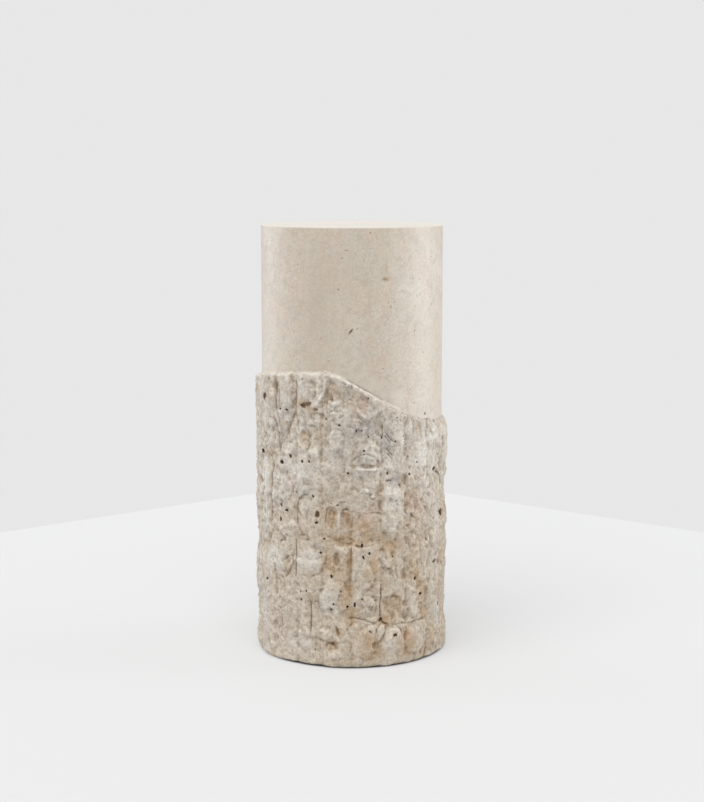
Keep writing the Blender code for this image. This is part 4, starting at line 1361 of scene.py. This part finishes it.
def travertine():
    """Honed above and rough below, with the masks of the mesh and procedural clouding, specks and grain."""
    material = bpy.data.materials.new("travertine")
    n = Nodes(material)
    place = n.new("ShaderNodeTexCoord").outputs["Object"]
    upward = n.new("ShaderNodeSeparateXYZ", {0: place}).outputs["Z"]
    fields = {name: n.noise(place, *values) for name, values in NOISES.items()}
    stretched = n.new("ShaderNodeMapping", {"Vector": place, "Scale": STREAK_STRETCH}).outputs["Vector"]
    fields["streaks"] = n.noise(stretched, *STREAKS)
    for layer, names in MASKS.items():
        fields.update(zip(names, n.attribute(layer)))
    rough = fields["rough"]
    cells = n.new("ShaderNodeTexVoronoi", {"Vector": place, "Scale": PIT_CELLS})
    pick = n.new("ShaderNodeSeparateColor", {"Color": cells.outputs["Color"]})
    rare = n.math("GREATER_THAN", pick.outputs[0], PIT_RARITY)
    pit = n.math("MULTIPLY", n.span(cells.outputs["Distance"], *PIT_EDGE), rare)

    honed = n.layered(HONED, fields, HONED_LAYERS)
    worn = n.math("MULTIPLY", n.span(fields["wear"], *WORN), n.span(fields["clouds"], *WORN_CLOUDS))
    honed = n.mix(n.math("MULTIPLY", worn, WORN_SHARE), honed, UMBER)
    dim = n.math("MULTIPLY", fields["dim"], n.span(fields["fine_clouds"], *DIM_CLOUDS))
    honed = n.mix(dim, honed, HONED_DIM)
    for *mark, colour in HONED_MARKS:
        honed = n.mix(n.oval(place, *mark), honed, colour)
    # Painted light on the flat top and its arris.
    honed = n.mix(n.span(upward, *TOP_PAINTED_LIGHT_BAND), honed, HONED_TOP_PAINTED_LIGHT)
    honed = n.mix(n.math("MULTIPLY", pit, PIT_SHARE), honed, UMBER)

    stone = n.layered(ROUGH_MID, fields, MOTTLE_LAYERS)
    for name, share, colour in MASK_LAYERS:
        stone = n.mix(n.math("MULTIPLY", fields[name], share), stone, colour)
    brown = n.math("MULTIPLY", n.span(fields["brown_clouds"], *BROWN_CLOUDS), fields["low"])
    stain = n.math("ADD", fields["ochre"], brown, clamp=True)
    stain = n.math("MULTIPLY", stain, n.span(fields["fine_clouds"], *STAIN_CLOUDS))
    stone = n.mix(stain, stone, OCHRE)
    # Grit and specks, then painted shade in the hollows and painted light on the ridges.
    stone = n.layered(stone, fields, ROUGH_LAYERS)
    # Painted shade in cracks, creases and the crevice.
    stone = n.mix(n.math("MULTIPLY", fields["crack"], CRACK_SHARE), stone, UMBER)
    stone = n.layered(stone, fields, PORE_LAYERS)

    colour = n.mix(rough, honed, stone)
    # Painted shadow on the band round the foot, under the skirt.
    n.put(n.shader.inputs["Base Color"], n.mix(n.span(upward, *FOOT_PAINTED_SHADOW), colour, UMBER))
    gloss = [
        n.math("ADD", n.math("MULTIPLY", fields[name], share), least)
        for name, (share, least) in (("fine_clouds", HONED_GLOSS), ("grain", ROUGH_GLOSS))
    ]
    mixed = n.new("ShaderNodeMix", {"Factor": rough, "A": gloss[0], "B": gloss[1]}, data_type="FLOAT")
    n.put(n.shader.inputs["Roughness"], mixed.outputs[0])

    coarse = n.math("ADD", fields["grain"], n.math("MULTIPLY", fields["grit"], GRIT_BUMP))
    fine = n.math("ADD", coarse, n.math("MULTIPLY", fields["fine_grain"], FINE_GRAIN_BUMP))
    fine = n.math("MULTIPLY", fine, rough)
    dents = n.math("MULTIPLY", n.math("SUBTRACT", 1.0, rough), pit)
    surface = n.math("SUBTRACT", fine, n.math("MULTIPLY", dents, PIT_BUMP))
    inputs = {"Strength": BUMP_STRENGTH, "Distance": BUMP_HEIGHT, "Height": surface}
    n.put(n.shader.inputs["Normal"], n.new("ShaderNodeBump", inputs).outputs["Normal"])
    n.shader.inputs["Specular IOR Level"].default_value = 0.5
    return material


# The camera, from the photograph's perspective, and the studio.
FOCAL_LENGTH = 75.91
SENSOR = 36.0
CAMERA_PLACE = (0.0, -2.803, 0.8145)
CAMERA_DIP = 8.115
CAMERA_REACH = 200.0
FLOOR_BACK = 1.488
FLOOR_ASIDE = 1.824
WORLD_LIGHT = 0.80
WHITE = (1, 1, 1, 1)
FLOOR_COLOUR = (0.270, 0.270, 0.270, 1)
FLOOR_ROUGHNESS = 0.9

# The floor's own faint glow, painted light that lifts the shadows on it, which fades in between two distances
# from the middle of the stone.
FLOOR_GLOW = 0.380
GLOW_FADE = (0.151, 0.159)

# The lights: name, degrees from the camera's side towards +X, degrees above the ground, spread, strength
# and colour.
SUNS = (
    ("key", -22, 56, 60, 0.92, (1.0, 1.0, 1.0)),
    ("right", 97, 3, 36, 0.70, (0.955, 0.985, 1.03)),
    ("left", -120, 3, 36, 0.35, (0.930, 0.980, 1.06)),
)


def add_camera():
    data = bpy.data.cameras.new("camera")
    data.sensor_fit = "VERTICAL"
    data.sensor_height = SENSOR
    data.sensor_width = SENSOR
    data.lens = FOCAL_LENGTH
    data.clip_end = CAMERA_REACH
    camera = bpy.data.objects.new("camera", data)
    camera.location = CAMERA_PLACE
    camera.rotation_euler = (math.radians(90 - CAMERA_DIP), 0, 0)
    bpy.context.scene.collection.objects.link(camera)
    bpy.context.scene.camera = camera


def add_floor():
    mesh = bpy.data.meshes.new("floor")
    corners = [(0, -FLOOR_BACK, 0), (FLOOR_ASIDE, 0, 0), (0, FLOOR_BACK, 0), (-FLOOR_ASIDE, 0, 0)]
    mesh.from_pydata(corners, [], [(0, 1, 2, 3)])
    material = bpy.data.materials.new("pale_floor")
    n = Nodes(material)
    n.shader.inputs["Base Color"].default_value = FLOOR_COLOUR
    n.shader.inputs["Roughness"].default_value = FLOOR_ROUGHNESS
    n.shader.inputs["Emission Color"].default_value = WHITE
    place = n.new("ShaderNodeTexCoord").outputs["Object"]
    far = n.new("ShaderNodeVectorMath", {0: place}, operation="LENGTH").outputs["Value"]
    n.put(n.shader.inputs["Emission Strength"], n.span(far, *GLOW_FADE, 0.0, FLOOR_GLOW))
    mesh.materials.append(material)
    floor = bpy.data.objects.new("floor", mesh)
    bpy.context.scene.collection.objects.link(floor)


def add_sun(name, turn, climb, spread, light, colour):
    """A broad soft light from a direction."""
    data = bpy.data.lights.new(name, "SUN")
    data.angle = math.radians(spread)
    data.energy = light * math.pi
    data.color = colour
    sun = bpy.data.objects.new(name, data)
    sun.rotation_euler = (math.radians(90 - climb), 0, math.radians(turn))
    bpy.context.scene.collection.objects.link(sun)


def add_studio():
    world = bpy.data.worlds.new("studio")
    bpy.context.scene.world = world
    world.use_nodes = True
    background = world.node_tree.nodes["Background"]
    background.inputs["Color"].default_value = WHITE
    background.inputs["Strength"].default_value = WORLD_LIGHT
    for sun in SUNS:
        add_sun(*sun)
    bpy.context.scene.view_settings.view_transform = "Standard"


radius, height, free = rings()
fine = sample(np.maximum(hole / FINE_HOLE, crack / FINE_CRACK), angles, height) > 1
drum = thinned(drum_mesh(radius, height), free, fine)
add_masks(drum.data)
add_unwrap(drum.data)
drum.data.materials.append(travertine())
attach(drum, "root")
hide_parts("pedestal_column")
add_floor()
add_studio()
add_camera()
